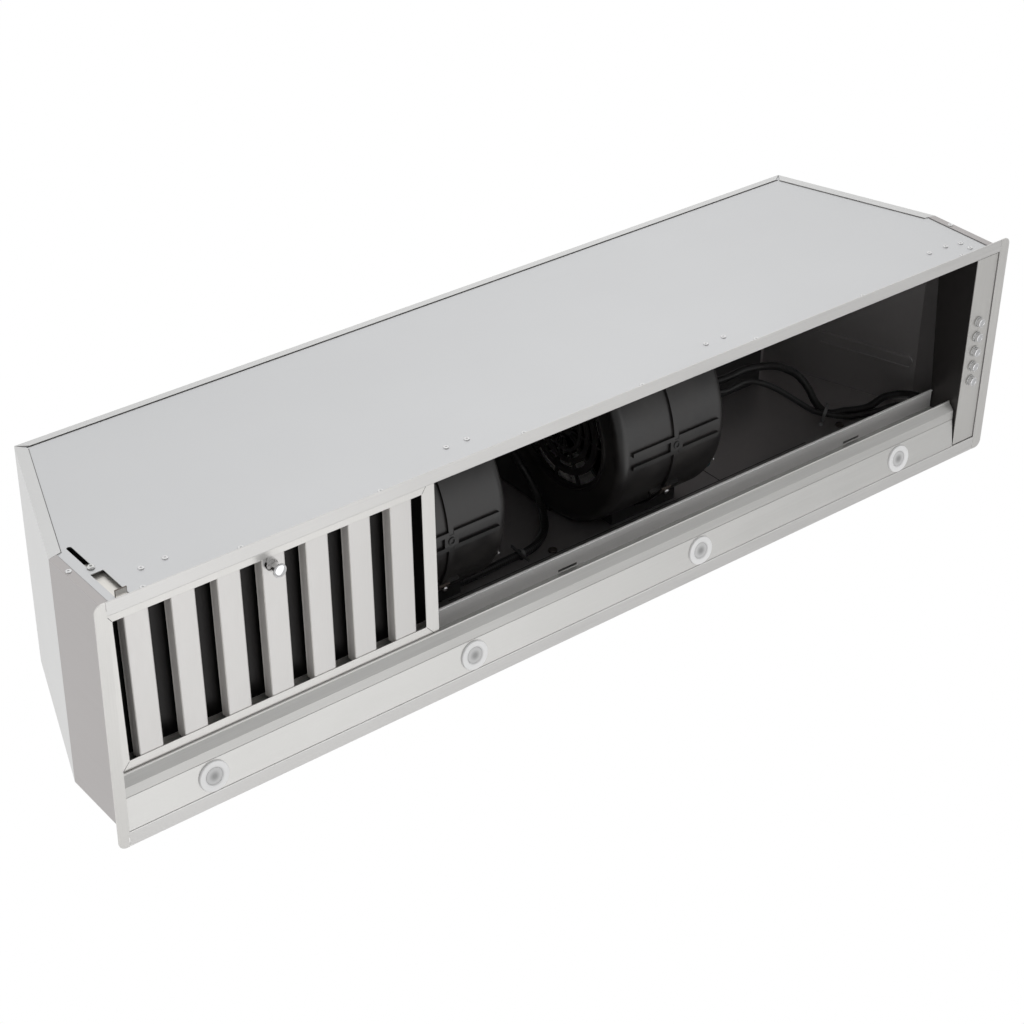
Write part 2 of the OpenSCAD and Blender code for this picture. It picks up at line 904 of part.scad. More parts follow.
jaw_cut = 14;
bracket_t = 1.5;
bracket_gap = 3.6;
bracket_w = 23;
bracket_top = 14;
jaw_w = window_w - 2 * slip;
clamp_nut_r = 4;
clamp_nut_h = 2.5;
head_h = 2.2;
head_top_share = 0.7;
recess_r = 1.5;
module clamp() {
    y_in = wall_in - bracket_gap;
    block(
        [clamp_x - bracket_w / 2, -y_in, jaw_h],
        [clamp_x + bracket_w / 2, bracket_t - y_in, clamp_screw_h + bracket_top]
    );
    block(
        [clamp_x - jaw_w / 2, -half_w - jaw_out, jaw_h],
        [clamp_x + jaw_w / 2, bracket_t - y_in, jaw_h + bracket_t]
    );
}
module clamp_bolt() {
    y_in = wall_in - bracket_gap;
    translate([slot_x, -wall_out - collar_lift, clamp_screw_h])
        rotate([90, 0, 0])
            difference() {
                union() {
                    cylinder(r = clamp_head_r, h = head_h / 2);
                    translate([0, 0, head_h / 2])
                        cylinder(r1 = clamp_head_r, r2 = clamp_head_r * head_top_share, h = head_h / 2);
                }
                translate([0, 0, head_h / 2]) cylinder(r = recess_r, h = head_h);
            }
    translate([slot_x, bracket_t - y_in + clamp_nut_h, clamp_screw_h])
        rotate([90, 0, 0]) {
            cylinder(r = screw_r, h = wall_out + collar_lift - y_in + bracket_t + clamp_nut_h);
            cylinder(r = clamp_nut_r, h = clamp_nut_h, $fn = 6);
        }
}
module clamp_plate() {
    difference() {
        clamp();
        translate([slot_x, 0, clamp_screw_h])
            rotate([90, 0, 0]) cylinder(r = screw_r, h = half_w);
    }
}
module front_clamp() {
    color("tan") clamp_plate();
}
module front_clamp_screw() {
    color("silver") clamp_bolt();
}
module rear_clamp() {
    color("tan") rotate([0, 0, 180]) clamp_plate();
}
module rear_clamp_screw() {
    color("silver") rotate([0, 0, 180]) clamp_bolt();
}

// Blowers: each is a scroll of two halves round a double-inlet wheel

foot_plate_t = 2;
scroll_back = wall_in - foot_plate_t;
neck_share = 0.42;
neck_front = scroll_y - scroll_r * neck_share;
edge_step_n = 5;
// A drum round the scroll's axis with rounded edges, g smaller all over
module drum(g) {
    r = scroll_r - g;
    h = scroll_half - g;
    e = scroll_edge - g;
    arc = [
        for (i = [0:edge_step_n])
            let (a = 90 - i * 90 / edge_step_n) [r - e + e * cos(a), h - e + e * sin(a)]
    ];
    translate([0, scroll_y, scroll_z])
        rotate([0, 90, 0])
            rotate_extrude()
                polygon(concat(
                    [[0, h]],
                    arc,
                    [for (i = [len(arc) - 1:-1:0]) [arc[i][0], -arc[i][1]]],
                    [[0, -h]]
                ));
}
// The right half of the drum and of the neck above it, g smaller all over, with a flat back
module scroll_form(g, x0, top) {
    intersection() {
        union() {
            drum(g);
            block([g - scroll_half, neck_front + g, scroll_z], [scroll_half - g, half_w, body_h + over]);
            if (g == 0) scroll_ribs();
        }
        block([x0, -wall_in, 0], [scroll_half + over, scroll_back - g, top]);
    }
}
ridge_h = 3;
ridge_w = 3.2;
rib_angles = [-95.8, -87.8];
rib_w = 5;
rib_h = 3.5;
rib_x0 = 3;
rib_x1 = 64;
clip_angle = -60;
clip_h = 4;
lip_w = 4;
lip_out = 2;
lip_in = 8;
pad_half = 9;
pad_w = 15;
pad_h = 3.2;
// What stands out of the scroll's skin: the seam's ridge, two long ribs and the clip's strap
module scroll_ribs() {
    translate([0, scroll_y, scroll_z]) {
        rotate([0, 90, 0])
            difference() {
                cylinder(r = scroll_r + ridge_h, h = ridge_w);
                translate([0, 0, -over]) cylinder(r = scroll_r - sheet_t, h = ridge_w + 2 * over);
            }
        for (a = rib_angles)
            rotate([a, 0, 0])
                block([rib_x0, scroll_r - sheet_t, -rib_w / 2], [rib_x1, scroll_r + rib_h, rib_w / 2]);
        rotate([(rib_angles[0] + rib_angles[1]) / 2, 0, 0])
            block([0, scroll_r - sheet_t, -pad_w / 2], [pad_half, scroll_r + pad_h, pad_w / 2]);
        rotate([clip_angle, 0, 0])
            block([0, scroll_r - sheet_t, -rib_w / 2], [rib_x1 / 3, scroll_r + clip_h, rib_w / 2]);
    }
}
module half_scroll() {
    difference() {
        union() {
            difference() {
                scroll_form(0, 0, top_in);
                scroll_form(scroll_t, -over, body_h);
            }
            rod_x(scroll_half - lip_in, scroll_half + lip_out, wheel_y, wheel_z, inlet_r + lip_w);
        }
        rod_x(scroll_half - lip_in - over, scroll_half + lip_out + over, wheel_y, wheel_z, inlet_r);
    }
}
module left_blower_left_half() {
    color("dimgray") translate([-blower_x, 0, 0]) mirror([1, 0, 0]) half_scroll();
}
module left_blower_right_half() {
    color("dimgray") translate([-blower_x, 0, 0]) half_scroll();
}
module right_blower_left_half() {
    color("dimgray") translate([blower_x, 0, 0]) mirror([1, 0, 0]) half_scroll();
}
module right_blower_right_half() {
    color("dimgray") translate([blower_x, 0, 0]) half_scroll();
}

// Inlet grilles: rings and spokes set into the inlets
grille_t = 3;
grille_in = 7;
grille_ring_shares = [[0.36, 0.42], [0.52, 0.6], [0.69, 0.8], [0.95, 1]];
grille_hub_share = 0.2;
grille_spoke_n = 11;
grille_spoke_w = 3;
grille_vane_n = 22;
grille_vane_w = 2;
module grille() {
    r = inlet_r - fit;
    vane_l = (grille_ring_shares[0][0] - grille_hub_share) * r + 2 * over;
    translate([scroll_half - grille_in, wheel_y, wheel_z])
        rotate([0, 90, 0])
            linear_extrude(height = grille_t) {
                for (k = grille_ring_shares)
                    difference() {
                        circle(r = k[1] * r);
                        circle(r = k[0] * r);
                    }
                circle(r = grille_hub_share * r);
                intersection() {
                    circle(r = r);
                    for (i = [0:grille_spoke_n - 1])
                        rotate(i * 360 / grille_spoke_n)
                            translate([grille_ring_shares[0][1] * r - over, -grille_spoke_w / 2])
                                square([r, grille_spoke_w]);
                }
                for (i = [0:grille_vane_n - 1])
                    rotate(i * 360 / grille_vane_n)
                        translate([grille_hub_share * r - over, -grille_vane_w / 2])
                            square([vane_l, grille_vane_w]);
            }
}
module grille_pair(x) {
    color("dimgray")
        translate([x, 0, 0]) {
            grille();
            mirror([1, 0, 0]) grille();
        }
}
module left_blower_grilles() {
    grille_pair(-blower_x);
}
module right_blower_grilles() {
    grille_pair(blower_x);
}

// Wheel: a middle plate, blades on both sides, end rings, hub and shaft
blade_t = 1.2;
blade_depth = 13;
blade_lean = 28;
plate_t = 2;
hub_r = 12;
hub_l = 16;
end_ring_w = 5;
shaft_end = 40;
module wheel(x) {
    color("silver")
        translate([x, wheel_y, wheel_z])
            rotate([0, 90, 0]) {
                translate([0, 0, -plate_t / 2]) cylinder(r = wheel_r - blade_depth / 2, h = plate_t);
                translate([0, 0, -hub_l]) cylinder(r = hub_r, h = hub_l);
                translate([0, 0, -hub_l]) cylinder(r = shaft_r, h = hub_l + shaft_end);
                for (z = [-wheel_half, wheel_half - end_ring_w])
                    translate([0, 0, z])
                        difference() {
                            cylinder(r = wheel_r, h = end_ring_w);
                            translate([0, 0, -over])
                                cylinder(r = wheel_r - blade_depth / 2, h = end_ring_w + 2 * over);
                        }
                for (i = [0:blade_n - 1])
                    rotate([0, 0, i * 360 / blade_n])
                        translate([wheel_r - blade_t, 0, end_ring_w / 2 - wheel_half])
                            rotate([0, 0, 180 - blade_lean])
                                cube([blade_depth, blade_t, 2 * wheel_half - end_ring_w]);
            }
}
module left_wheel() {
    wheel(-blower_x);
}
module right_wheel() {
    wheel(blower_x);
}
// Motor, inside the wheel's right half, carried by the right grille's hub
motor_gap = 8;
motor_boss_r = 14;
motor_edge = 4;
module motor(x) {
    x0 = motor_gap;
    x1 = scroll_half - grille_in;
    color("slategray")
        difference() {
            translate([x + x0, wheel_y, wheel_z])
                rotate([0, 90, 0])
                    rotate_extrude()
                        polygon([
                            [0, 0],
                            [motor_r - motor_edge, 0],
                            [motor_r, motor_edge],
                            [motor_r, x1 - x0 - 3 * motor_edge],
                            [motor_r - motor_edge, x1 - x0 - 2 * motor_edge],
                            [motor_boss_r, x1 - x0 - motor_edge],
                            [motor_boss_r, x1 - x0],
                            [0, x1 - x0]
                        ]);
            rod_x(x + x0 - over, x + shaft_end + motor_edge, wheel_y, wheel_z, shaft_r + fit / 2);
        }
}
module left_motor() {
    motor(-blower_x);
}
module right_motor() {
    motor(blower_x);
}
// Foot of each blower: a box bracket between the scroll and the rear wall
foot_x0 = -40;
foot_x1 = 57;
foot_z0 = 126;
foot_z1 = 215;
foot_y0 = 100;
foot_side_z = 158;
foot_t = 1.5;
module foot(x) {
    block([x + foot_x0, scroll_back, foot_z0], [x + foot_x1, wall_in, foot_z1]);
    difference() {
        block([x + foot_x0, foot_y0, foot_z0], [x + foot_x1, scroll_back, foot_side_z]);
        block(
            [x + foot_x0 + foot_t, foot_y0 - over, foot_z0 + foot_t],
            [x + foot_x1 - foot_t, scroll_back, foot_side_z + over]
        );
        rod_x(x + foot_x0 - over, x + foot_x1 + over, scroll_y, scroll_z, scroll_r + slip);
        rod_x(x - 2 * ridge_w, x + 2 * ridge_w, scroll_y, scroll_z, scroll_r + ridge_h + slip);
    }
}
module blower_feet() {
    color("black")
        for (s = [-1, 1]) foot(s * blower_x);
}
// Metal clips that close each scroll over its strap
clip_l = 14;
clip_w = 9;
clip_t = 2;
clip_head_r = 3;
module blower_clips() {
    color("silver")
        for (s = [-1, 1])
            translate([s * blower_x, scroll_y, scroll_z])
                rotate([clip_angle, 0, 0]) {
                    block(
                        [-clip_l / 2, scroll_r + clip_h, -clip_w / 2],
                        [clip_l / 2, scroll_r + clip_h + clip_t, clip_w / 2]
                    );
                    translate([0, scroll_r + clip_h + clip_t, 0])
                        rotate([-90, 0, 0]) cylinder(r = clip_head_r, h = clip_t);
                }
}

// Duct collars with a two-leaf damper in each

damper_axis = body_h + damper_z;
flap_t = 0.8;
knuckle_r = 4.5;
flap_r = collar_r - sheet_t - 3 * slip;
stop_t = 1.5;
stop_w = 3;
knuckle_mid = 18;
knuckle_end = 58;
flap_start = knuckle_r + 2 * slip;
module collar(x) {
    color("lightsteelblue")
        translate([x, collar_y, 0]) {
            difference() {
                union() {
                    post(0, 0, body_h, body_h + collar_h, collar_r);
                    post(0, 0, body_h, body_h + sheet_t, collar_r + collar_flange);
                }
                post(0, 0, body_h - over, body_h + collar_h + over, collar_r - sheet_t);
            }
            difference() {
                post(
                    0, 0, damper_axis - flap_t / 2 - collar_lift - stop_t,
                    damper_axis - flap_t / 2 - collar_lift, collar_r - sheet_t / 2
                );
                post(0, 0, body_h, damper_axis + over, collar_r - sheet_t - stop_w);
            }
            rod_x(
                sheet_t / 2 - collar_r, collar_r - sheet_t / 2,
                0, damper_axis, damper_pin_r
            );
        }
}
module left_duct_collar() {
    collar(-blower_x);
}
module right_duct_collar() {
    collar(blower_x);
}
// A half disc with its own knuckles on the pin: the ends for one leaf, the middle for the other
module leaf(front, ends) {
    spans = ends
        ? [[-knuckle_end, -knuckle_mid - slip], [knuckle_mid + slip, knuckle_end]]
        : [[-knuckle_mid, knuckle_mid]];
    mirror([0, front ? 1 : 0, 0])
        difference() {
            union() {
                intersection() {
                    post(0, 0, -flap_t / 2, flap_t / 2, flap_r);
                    block([-flap_r, flap_start, -flap_t], [flap_r, flap_r, flap_t]);
                }
                for (k = spans) {
                    rod_x(k[0], k[1], 0, 0, knuckle_r);
                    block([k[0], 0, -flap_t / 2], [k[1], flap_start + over, flap_t / 2]);
                }
            }
            rod_x(-collar_r, collar_r, 0, 0, damper_pin_r + fit);
        }
}
module flap(x, front) {
    color("lightgray")
        translate([x, collar_y, damper_axis]) leaf(front, front);
}
module left_damper_front() {
    flap(-blower_x, true);
}
module left_damper_rear() {
    flap(-blower_x, false);
}
module right_damper_front() {
    flap(blower_x, true);
}
module right_damper_rear() {
    flap(blower_x, false);
}

// Wiring box in the corner of the rear wall and the top panel, over the knockout
box_l = 80;
box_w = 66;
box_h = 36;
box_in = 122;
box_x = top_l - box_in;
box_t = 1.5;
knockout_x = box_x + box_l / 2;
knockout_y = wall_in - box_w / 2;
module wiring_box() {
    color("black")
        difference() {
            block(
                [box_x, wall_in - box_w, top_in - box_h],
                [box_x + box_l, wall_in, top_in]
            );
            block(
                [box_x + box_t, box_t + wall_in - box_w, box_t + top_in - box_h],
                [box_x + box_l - box_t, wall_in - box_t, top_in + over]
            );
        }
}

// Conduits: a round tube swept along points chosen by hand, smoothed by a spline
conduit_sides_n = 10;
function spline(p, i, t) =
    let (
        a = p[max(i - 1, 0)],
        b = p[i],
        c = p[i + 1],
        d = p[min(i + 2, len(p) - 1)]
    )
    0.5 * (2 * b + (c - a) * t + (2 * a - 5 * b + 4 * c - d) * t * t
        + (3 * b - a - 3 * c + d) * t * t * t);
function smooth(p, n) = concat(
    [for (i = [0:len(p) - 2], k = [0:n - 1]) spline(p, i, k / n)],
    [p[len(p) - 1]]
);
function dir_at(p, i) =
    let (v = p[min(i + 1, len(p) - 1)] - p[max(i - 1, 0)]) v / norm(v);
// The side direction is carried from ring to ring, so that the tube doesn't twist
function carry(u, d) = let (v = u - (u * d) * d) v / norm(v);
function frames(p, i, u) = i == len(p) ? [] :
    let (d = dir_at(p, i), v = carry(u, d)) concat([[p[i], v, cross(d, v)]], frames(p, i + 1, v));
module tube(p, r, n, up) {
    f = frames(p, 0, up);
    m = len(f);
    pts = [for (q = f, k = [0:n - 1]) q[0] + r * (cos(k * 360 / n) * q[1] + sin(k * 360 / n) * q[2])];
    walls = [
        for (i = [0:m - 2], k = [0:n - 1])
            let (a = i * n + k, b = i * n + (k + 1) % n)
            each [[a, b, b + n], [a, b + n, a + n]]
    ];
    polyhedron(
        points = pts,
        faces = concat([[for (k = [n - 1:-1:0]) k]], walls, [[for (k = [0:n - 1]) (m - 1) * n + k]])
    );
}
right_route = [
    [238, 14, 182],
    [262, 22, 184],
    [300, 32, 184],
    [340, 40, 184],
    [376, 41, 187],
    [411, 50, 191],
    [441, 62, 196],
    [463, 74, 196],
    [478, 85, 193],
    [485, 95, 186],
    [487, 104, 177],
    [485, 112, 166],
    [484, 117, 155],
    [484.5, 119.5, 146],
    [491, 120.6, 139],
    [508, 122, 135.5],
    [527, 124, 130],
    [542, 124, 126.5],
    [554, 121.5, 125.5],
    [564, 116.5, 123],
    [575, 113, 116],
    [583, 109, 104],
    [586, 105, 86],
    [584, 104, 60],
    [584, 104, 36]
];
middle_route = [
    [238, 3, 172],
    [262, 14, 164],
    [292, 28, 160],
    [322, 40, 162],
    [357, 42, 166],
    [382, 52, 171],
    [404, 64, 171],
    [424, 78, 168],
    [441, 92, 161],
    [454, 103, 152],
    [466, 112, 146],
    [477.7, 116.3, 138.7],
    [488, 118.4, 129.8],
    [504, 122, 122],
    [526, 124, 117],
    [546, 121, 109],
    [560, 113, 96],
    [568, 106, 76],
    [569, 104, 56],
    [569, 104, 36]
];
left_route = [
    [78.4, 67, 259],
    [76, 67, 259],
    [73.2, 67.2, 258.6],
    [70, 71, 251.5],
    [69, 82, 235],
    [71, 93, 224],
    [71, 105, 210],
    [68, 115, 196],
    [57, 121, 175],
    [41, 124, 156],
    [20, 124.2, 142],
    [1, 124.2, 137],
    [-16, 124.2, 137],
    [-39, 124.5, 136.5],
    [-62, 125.5, 136],
    [-82, 125.5, 136],
    [-101, 125.5, 136]
];
route_step_n = 2;
module right_conduit() {
    color("black") tube(smooth(stretched(right_route), route_step_n), conduit_r, conduit_sides_n, [0, 0, 1]);
}
module middle_conduit() {
    color("black") tube(smooth(stretched(middle_route), route_step_n), cable_r, conduit_sides_n, [0, 0, 1]);
}
module left_conduit() {
    color("black") tube(smooth(deepened(left_route), route_step_n), conduit_r, conduit_sides_n, [1, 0, 0]);
}

// Cable ties round the conduits and rubber clips on the rear wall
tie_w = 4;
tie_t = 1.2;
tie_left_n = 23;
tie_right_n = 26;
tie_fit = 0.3;
// The right tie lies round both cables, this share of the way from one to the other
tie_middle_n = 22;
tie_share = 0.45;
pair_r = 11.3;
module tie(q, d, r) {
    translate(q)
        rotate([0, acos(d[2]), atan2(d[1], d[0])])
            difference() {
                cylinder(r = r + tie_t, h = tie_w, center = true);
                cylinder(r = r, h = 2 * tie_w, center = true);
            }
}
module cable_ties() {
    a = smooth(deepened(left_route), route_step_n);
    b = smooth(stretched(right_route), route_step_n);
    c = smooth(stretched(middle_route), route_step_n);
    along = dir_at(b, tie_right_n) + dir_at(c, tie_middle_n);
    color("white") {
        tie(a[tie_left_n], dir_at(a, tie_left_n), conduit_r + tie_fit);
        tie(b[tie_right_n] + tie_share * (c[tie_middle_n] - b[tie_right_n]), along / norm(along), pair_r);
    }
}
clip_places = [[31, 127], [490, 124]];
clip_pad_r = 5;
clip_pad_h = 3;
module cable_clips() {
    color("gray")
        for (p = clip_places)
            translate([p[0], wall_in, p[1]])
                rotate([90, 0, 0]) cylinder(r = clip_pad_r, h = clip_pad_h);
}

front_panel();
rear_panel();
left_end_panel();
right_end_panel();
top_wrap_panel();
front_trim();
rear_trim();
body_rivets();
light_panel();
led_bezels();
led_lenses();
led_cans();
led_driver();
light_harness();
filter_lip();
rear_shelf();
control_panel();
control_box();
button_rings();
switch_board();
button(0);  // button_1
button(1);  // button_2
button(2);  // button_3
button(3);  // button_4
button(4);  // button_5
filter_frame();
front_baffles();
rear_baffles();
filter_knob();
filter_springs();
front_clamp();
front_clamp_screw();
rear_clamp();
rear_clamp_screw();
left_blower_left_half();
left_blower_right_half();
right_blower_left_half();
right_blower_right_half();
left_blower_grilles();
right_blower_grilles();
left_wheel();
right_wheel();
left_motor();
right_motor();
blower_feet();
blower_clips();
left_duct_collar();
right_duct_collar();
left_damper_front();
left_damper_rear();
right_damper_front();
right_damper_rear();
wiring_box();
right_conduit();
middle_conduit();
left_conduit();
cable_ties();
cable_clips();
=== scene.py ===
"""Looks of the range hood insert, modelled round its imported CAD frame.

The liner hangs as it is fitted, with its opening down, and the camera looks up at it from below.
Lengths are in metres. Each sub-assembly is a class that holds its sizes and builds its pieces.
"""

import logging
import math
from contextlib import contextmanager
from dataclasses import dataclass, field
from enum import Enum
from typing import Callable, Iterator, Optional, Sequence

import bmesh
import bpy
from mathutils import Matrix, Quaternion, Vector


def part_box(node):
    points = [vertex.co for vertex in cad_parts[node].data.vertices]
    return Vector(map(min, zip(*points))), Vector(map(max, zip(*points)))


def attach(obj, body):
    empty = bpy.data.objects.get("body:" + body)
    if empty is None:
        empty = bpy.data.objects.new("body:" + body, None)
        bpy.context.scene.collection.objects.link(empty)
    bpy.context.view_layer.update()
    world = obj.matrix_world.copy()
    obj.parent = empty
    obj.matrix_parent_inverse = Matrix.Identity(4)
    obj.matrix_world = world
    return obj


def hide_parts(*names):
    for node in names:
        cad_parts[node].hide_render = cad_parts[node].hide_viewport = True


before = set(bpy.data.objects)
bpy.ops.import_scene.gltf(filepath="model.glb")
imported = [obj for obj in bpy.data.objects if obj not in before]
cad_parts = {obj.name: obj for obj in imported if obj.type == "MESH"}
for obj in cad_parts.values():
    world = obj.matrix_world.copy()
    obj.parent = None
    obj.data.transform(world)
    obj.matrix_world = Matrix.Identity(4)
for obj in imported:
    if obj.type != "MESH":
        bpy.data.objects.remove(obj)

LOG = logging.getLogger("range_hood_insert")
MM = 0.001
Point2 = tuple[float, float]
Point3 = tuple[float, float, float]
Piece = bpy.types.Object
Socket = bpy.types.NodeSocket
FaceTest = Callable[[Vector, Vector], bool]

# The part of a noise's range that its values mostly fill
NOISE_SPAN: Point2 = (0.3, 0.7)
# Edges flatter than this many degrees aren't rounded
SHARP_ANGLE = 30.0
# Steps of a bend's arc, and the share of a side that it takes up at most
BEND_STEPS = 5
CORNER_SHARE = 0.45
# Radius of a hoop's edges as a share of its wall
HOOP_EDGE_SHARE = 0.3
# Distance within which the CAD's points are one, and the limit of its flat faces in degrees
WELD = 1e-6
FLAT_ANGLE = 0.5
# Side of the cells that the rivets' points are sorted into
RIVET_CELL = 4.0 * MM
# Points of two cells that are nearer than this belong to one rivet
RIVET_REACH = 5.5 * MM
# A point inside the liner beside a face: its share of the face's X, and its height
MIDDLE_SHARE = 0.9
MIDDLE_Z = 150.0 * MM

# The cables' routes in millimetres, the same as in the CAD model
RIGHT_ROUTE = (
    (238, 14, 182), (262, 22, 184), (300, 32, 184), (340, 40, 184), (376, 41, 187), (411, 50, 191),
    (441, 62, 196), (463, 74, 196), (478, 85, 193), (485, 95, 186), (487, 104, 177), (485, 112, 166),
    (484, 117, 155), (484.5, 119.5, 146), (491, 120.6, 139), (508, 122, 135.5), (527, 124, 130),
    (542, 124, 126.5), (554, 121.5, 125.5), (564, 116.5, 123), (575, 113, 116), (583, 109, 104),
    (586, 105, 86), (584, 104, 60), (584, 104, 36),
)
MIDDLE_ROUTE = (
    (238, 3, 172), (262, 14, 164), (292, 28, 160), (322, 40, 162), (357, 42, 166), (382, 52, 171),
    (404, 64, 171), (424, 78, 168), (441, 92, 161), (454, 103, 152), (466, 112, 146),
    (477.7, 116.3, 138.7), (488, 118.4, 129.8), (504, 122, 122), (526, 124, 117), (546, 121, 109),
    (560, 113, 96), (568, 106, 76), (569, 104, 56), (569, 104, 36),
)
LEFT_ROUTE = (
    (78.4, 67, 259), (76, 67, 259), (73.2, 67.2, 258.6), (70, 71, 251.5), (69, 82, 235), (71, 93, 224),
    (71, 105, 210), (68, 115, 196), (57, 121, 175), (41, 124, 156), (20, 124.2, 142), (1, 124.2, 137),
    (-16, 124.2, 137), (-39, 124.5, 136.5), (-62, 125.5, 136), (-82, 125.5, 136), (-101, 125.5, 136),
)


class Axis(Enum):
    """A direction of the part's frame."""

    X = (1.0, 0.0, 0.0)
    Y = (0.0, 1.0, 0.0)
    Z = (0.0, 0.0, 1.0)

    @property
    def vector(self) -> Vector:
        """The axis as a vector."""
        return Vector(self.value)


UP = Axis.Z.vector
MIRROR_X = Matrix.Scale(-1.0, 4, Axis.X.vector)
QUARTER = Matrix.Rotation(math.radians(90.0), 4, "Z")
# Sets a strip made along X on its end, with its profile in X and Y
ON_END = Matrix(((0.0, 1.0, 0.0), (0.0, 0.0, 1.0), (1.0, 0.0, 0.0))).to_4x4()


class Shade(Enum):
    """How smooth a piece is shaded: the angle in degrees above which an edge stays sharp."""

    CRISP = 28.0
    SOFT = 45.0
    ROUND = 80.0


# Materials


class Recipe:
    """A material's node tree, built step by step round one Principled shader."""

    def __init__(self, name: str) -> None:
        """Starts a material.

        Args:
            name: The material's name.
        """
        self.material = bpy.data.materials.new(name)
        self.material.use_nodes = True
        self.nodes = self.material.node_tree.nodes
        self.links = self.material.node_tree.links
        self.shader = self.nodes["Principled BSDF"]
        self.coordinates = self.nodes.new("ShaderNodeTexCoord").outputs["Object"]

    def set(self, **values: object) -> "Recipe":
        """Sets sockets of the shader by name, with underscores for spaces.

        Args:
            values: Socket names and their values.

        Returns:
            The recipe itself.
        """
        for name, value in values.items():
            self.shader.inputs[name.replace("_", " ")].default_value = value
        return self

    def mapped(self, scale: Point3) -> Socket:
        """Object coordinates, scaled.

        Args:
            scale: Scale along each axis, per metre.

        Returns:
            The mapped vector's socket.
        """
        node = self.nodes.new("ShaderNodeMapping")
        node.inputs["Scale"].default_value = scale
        self.links.new(self.coordinates, node.inputs["Vector"])
        return node.outputs["Vector"]

    def noise(self, scale: Point3, detail: float = 2.0) -> Socket:
        """A noise pattern on Object coordinates.

        Args:
            scale: Scale along each axis, per metre.
            detail: Octaves of detail.

        Returns:
            The noise's factor socket.
        """
        node = self.nodes.new("ShaderNodeTexNoise")
        node.inputs["Scale"].default_value = 1.0
        node.inputs["Detail"].default_value = detail
        self.links.new(self.mapped(scale), node.inputs["Vector"])
        return node.outputs["Fac"]

    def mean(self, first: Socket, second: Socket) -> Socket:
        """The mean of two factors.

        Args:
            first: One factor.
            second: The other factor.

        Returns:
            The mean's socket.
        """
        half = self.nodes.new("ShaderNodeMath")
        half.operation = "MULTIPLY"
        half.inputs[1].default_value = 0.5
        self.links.new(first, half.inputs[0])
        total = self.nodes.new("ShaderNodeMath")
        total.operation = "MULTIPLY_ADD"
        total.inputs[1].default_value = 0.5
        self.links.new(second, total.inputs[0])
        self.links.new(half.outputs["Value"], total.inputs[2])
        return total.outputs["Value"]

    def ramp(self, source: Socket, low: float, high: float) -> Socket:
        """Maps a noise onto low to high.

        Args:
            source: The factor.
            low: Value at the low end.
            high: Value at the high end.

        Returns:
            The mapped value's socket.
        """
        node = self.nodes.new("ShaderNodeMapRange")
        node.inputs["From Min"].default_value, node.inputs["From Max"].default_value = NOISE_SPAN
        node.inputs["To Min"].default_value = low
        node.inputs["To Max"].default_value = high
        self.links.new(source, node.inputs["Value"])
        return node.outputs["Result"]

    def blend(
        self,
        source: Socket,
        first: Sequence[float],
        second: Sequence[float],
        span: Point2 = NOISE_SPAN,
    ) -> Socket:
        """A colour that runs from one to another with a factor.

        Args:
            source: The factor.
            first: Colour at the low end.
            second: Colour at the high end.
            span: The factor's low and high ends.

        Returns:
            The colour's socket.
        """
        node = self.nodes.new("ShaderNodeValToRGB")
        for stop, place, colour in zip(node.color_ramp.elements, span, (first, second)):
            stop.position = place
            stop.color = (*colour, 1.0)
        self.links.new(source, node.inputs["Fac"])
        return node.outputs["Color"]

    def feed(self, socket: str, source: Socket) -> "Recipe":
        """Links a pattern to one of the shader's sockets.

        Args:
            socket: The shader socket's name.
            source: The pattern.

        Returns:
            The recipe itself.
        """
        self.links.new(source, self.shader.inputs[socket])
        return self

    def bump(self, source: Socket, strength: float, height: float) -> "Recipe":
        """Raises the surface by a pattern.

        Args:
            source: The height pattern.
            strength: Strength of the bump.
            height: Height of the pattern in metres.

        Returns:
            The recipe itself.
        """
        node = self.nodes.new("ShaderNodeBump")
        node.inputs["Strength"].default_value = strength
        node.inputs["Distance"].default_value = height
        self.links.new(source, node.inputs["Height"])
        return self.feed("Normal", node.outputs["Normal"])


def shaded(colour: Sequence[float], share: float) -> tuple[float, ...]:
    """A colour made darker or lighter by a share."""
    return tuple(min(1.0, c * share) for c in colour)


@dataclass(frozen=True)
class BrushedSteel:
    """Steel sheet with a fine grain along one axis and a slow cloud in its tone."""

    name: str
    colour: Point3
    grain: Axis = Axis.X
    metal: float = 0.7
    roughness: float = 0.36
    spread: Point2 = (-0.05, 0.06)
    contrast: float = 0.05
    line_width: float = 0.0008
    line_length: float = 0.09
    cloud_size: float = 0.16
    relief: float = 0.12
    line_depth: float = 0.04 * MM

    def make(self) -> bpy.types.Material:
        """Builds the material.

        Returns:
            The material.
        """
        recipe = Recipe(self.name)
        recipe.set(Metallic=self.metal)
        along, across = 1.0 / self.line_length, 1.0 / self.line_width
        scale = [along if axis is self.grain else across for axis in Axis]
        lines = recipe.noise(tuple(scale))
        cloud = recipe.noise((1.0 / self.cloud_size,) * 3)
        dark, light = shaded(self.colour, 1.0 - self.contrast), shaded(self.colour, 1.0 + self.contrast)
        recipe.feed("Base Color", recipe.blend(recipe.mean(lines, cloud), dark, light))
        recipe.feed("Roughness", recipe.ramp(lines, *(self.roughness + s for s in self.spread)))
        return recipe.bump(lines, self.relief, self.line_depth).material


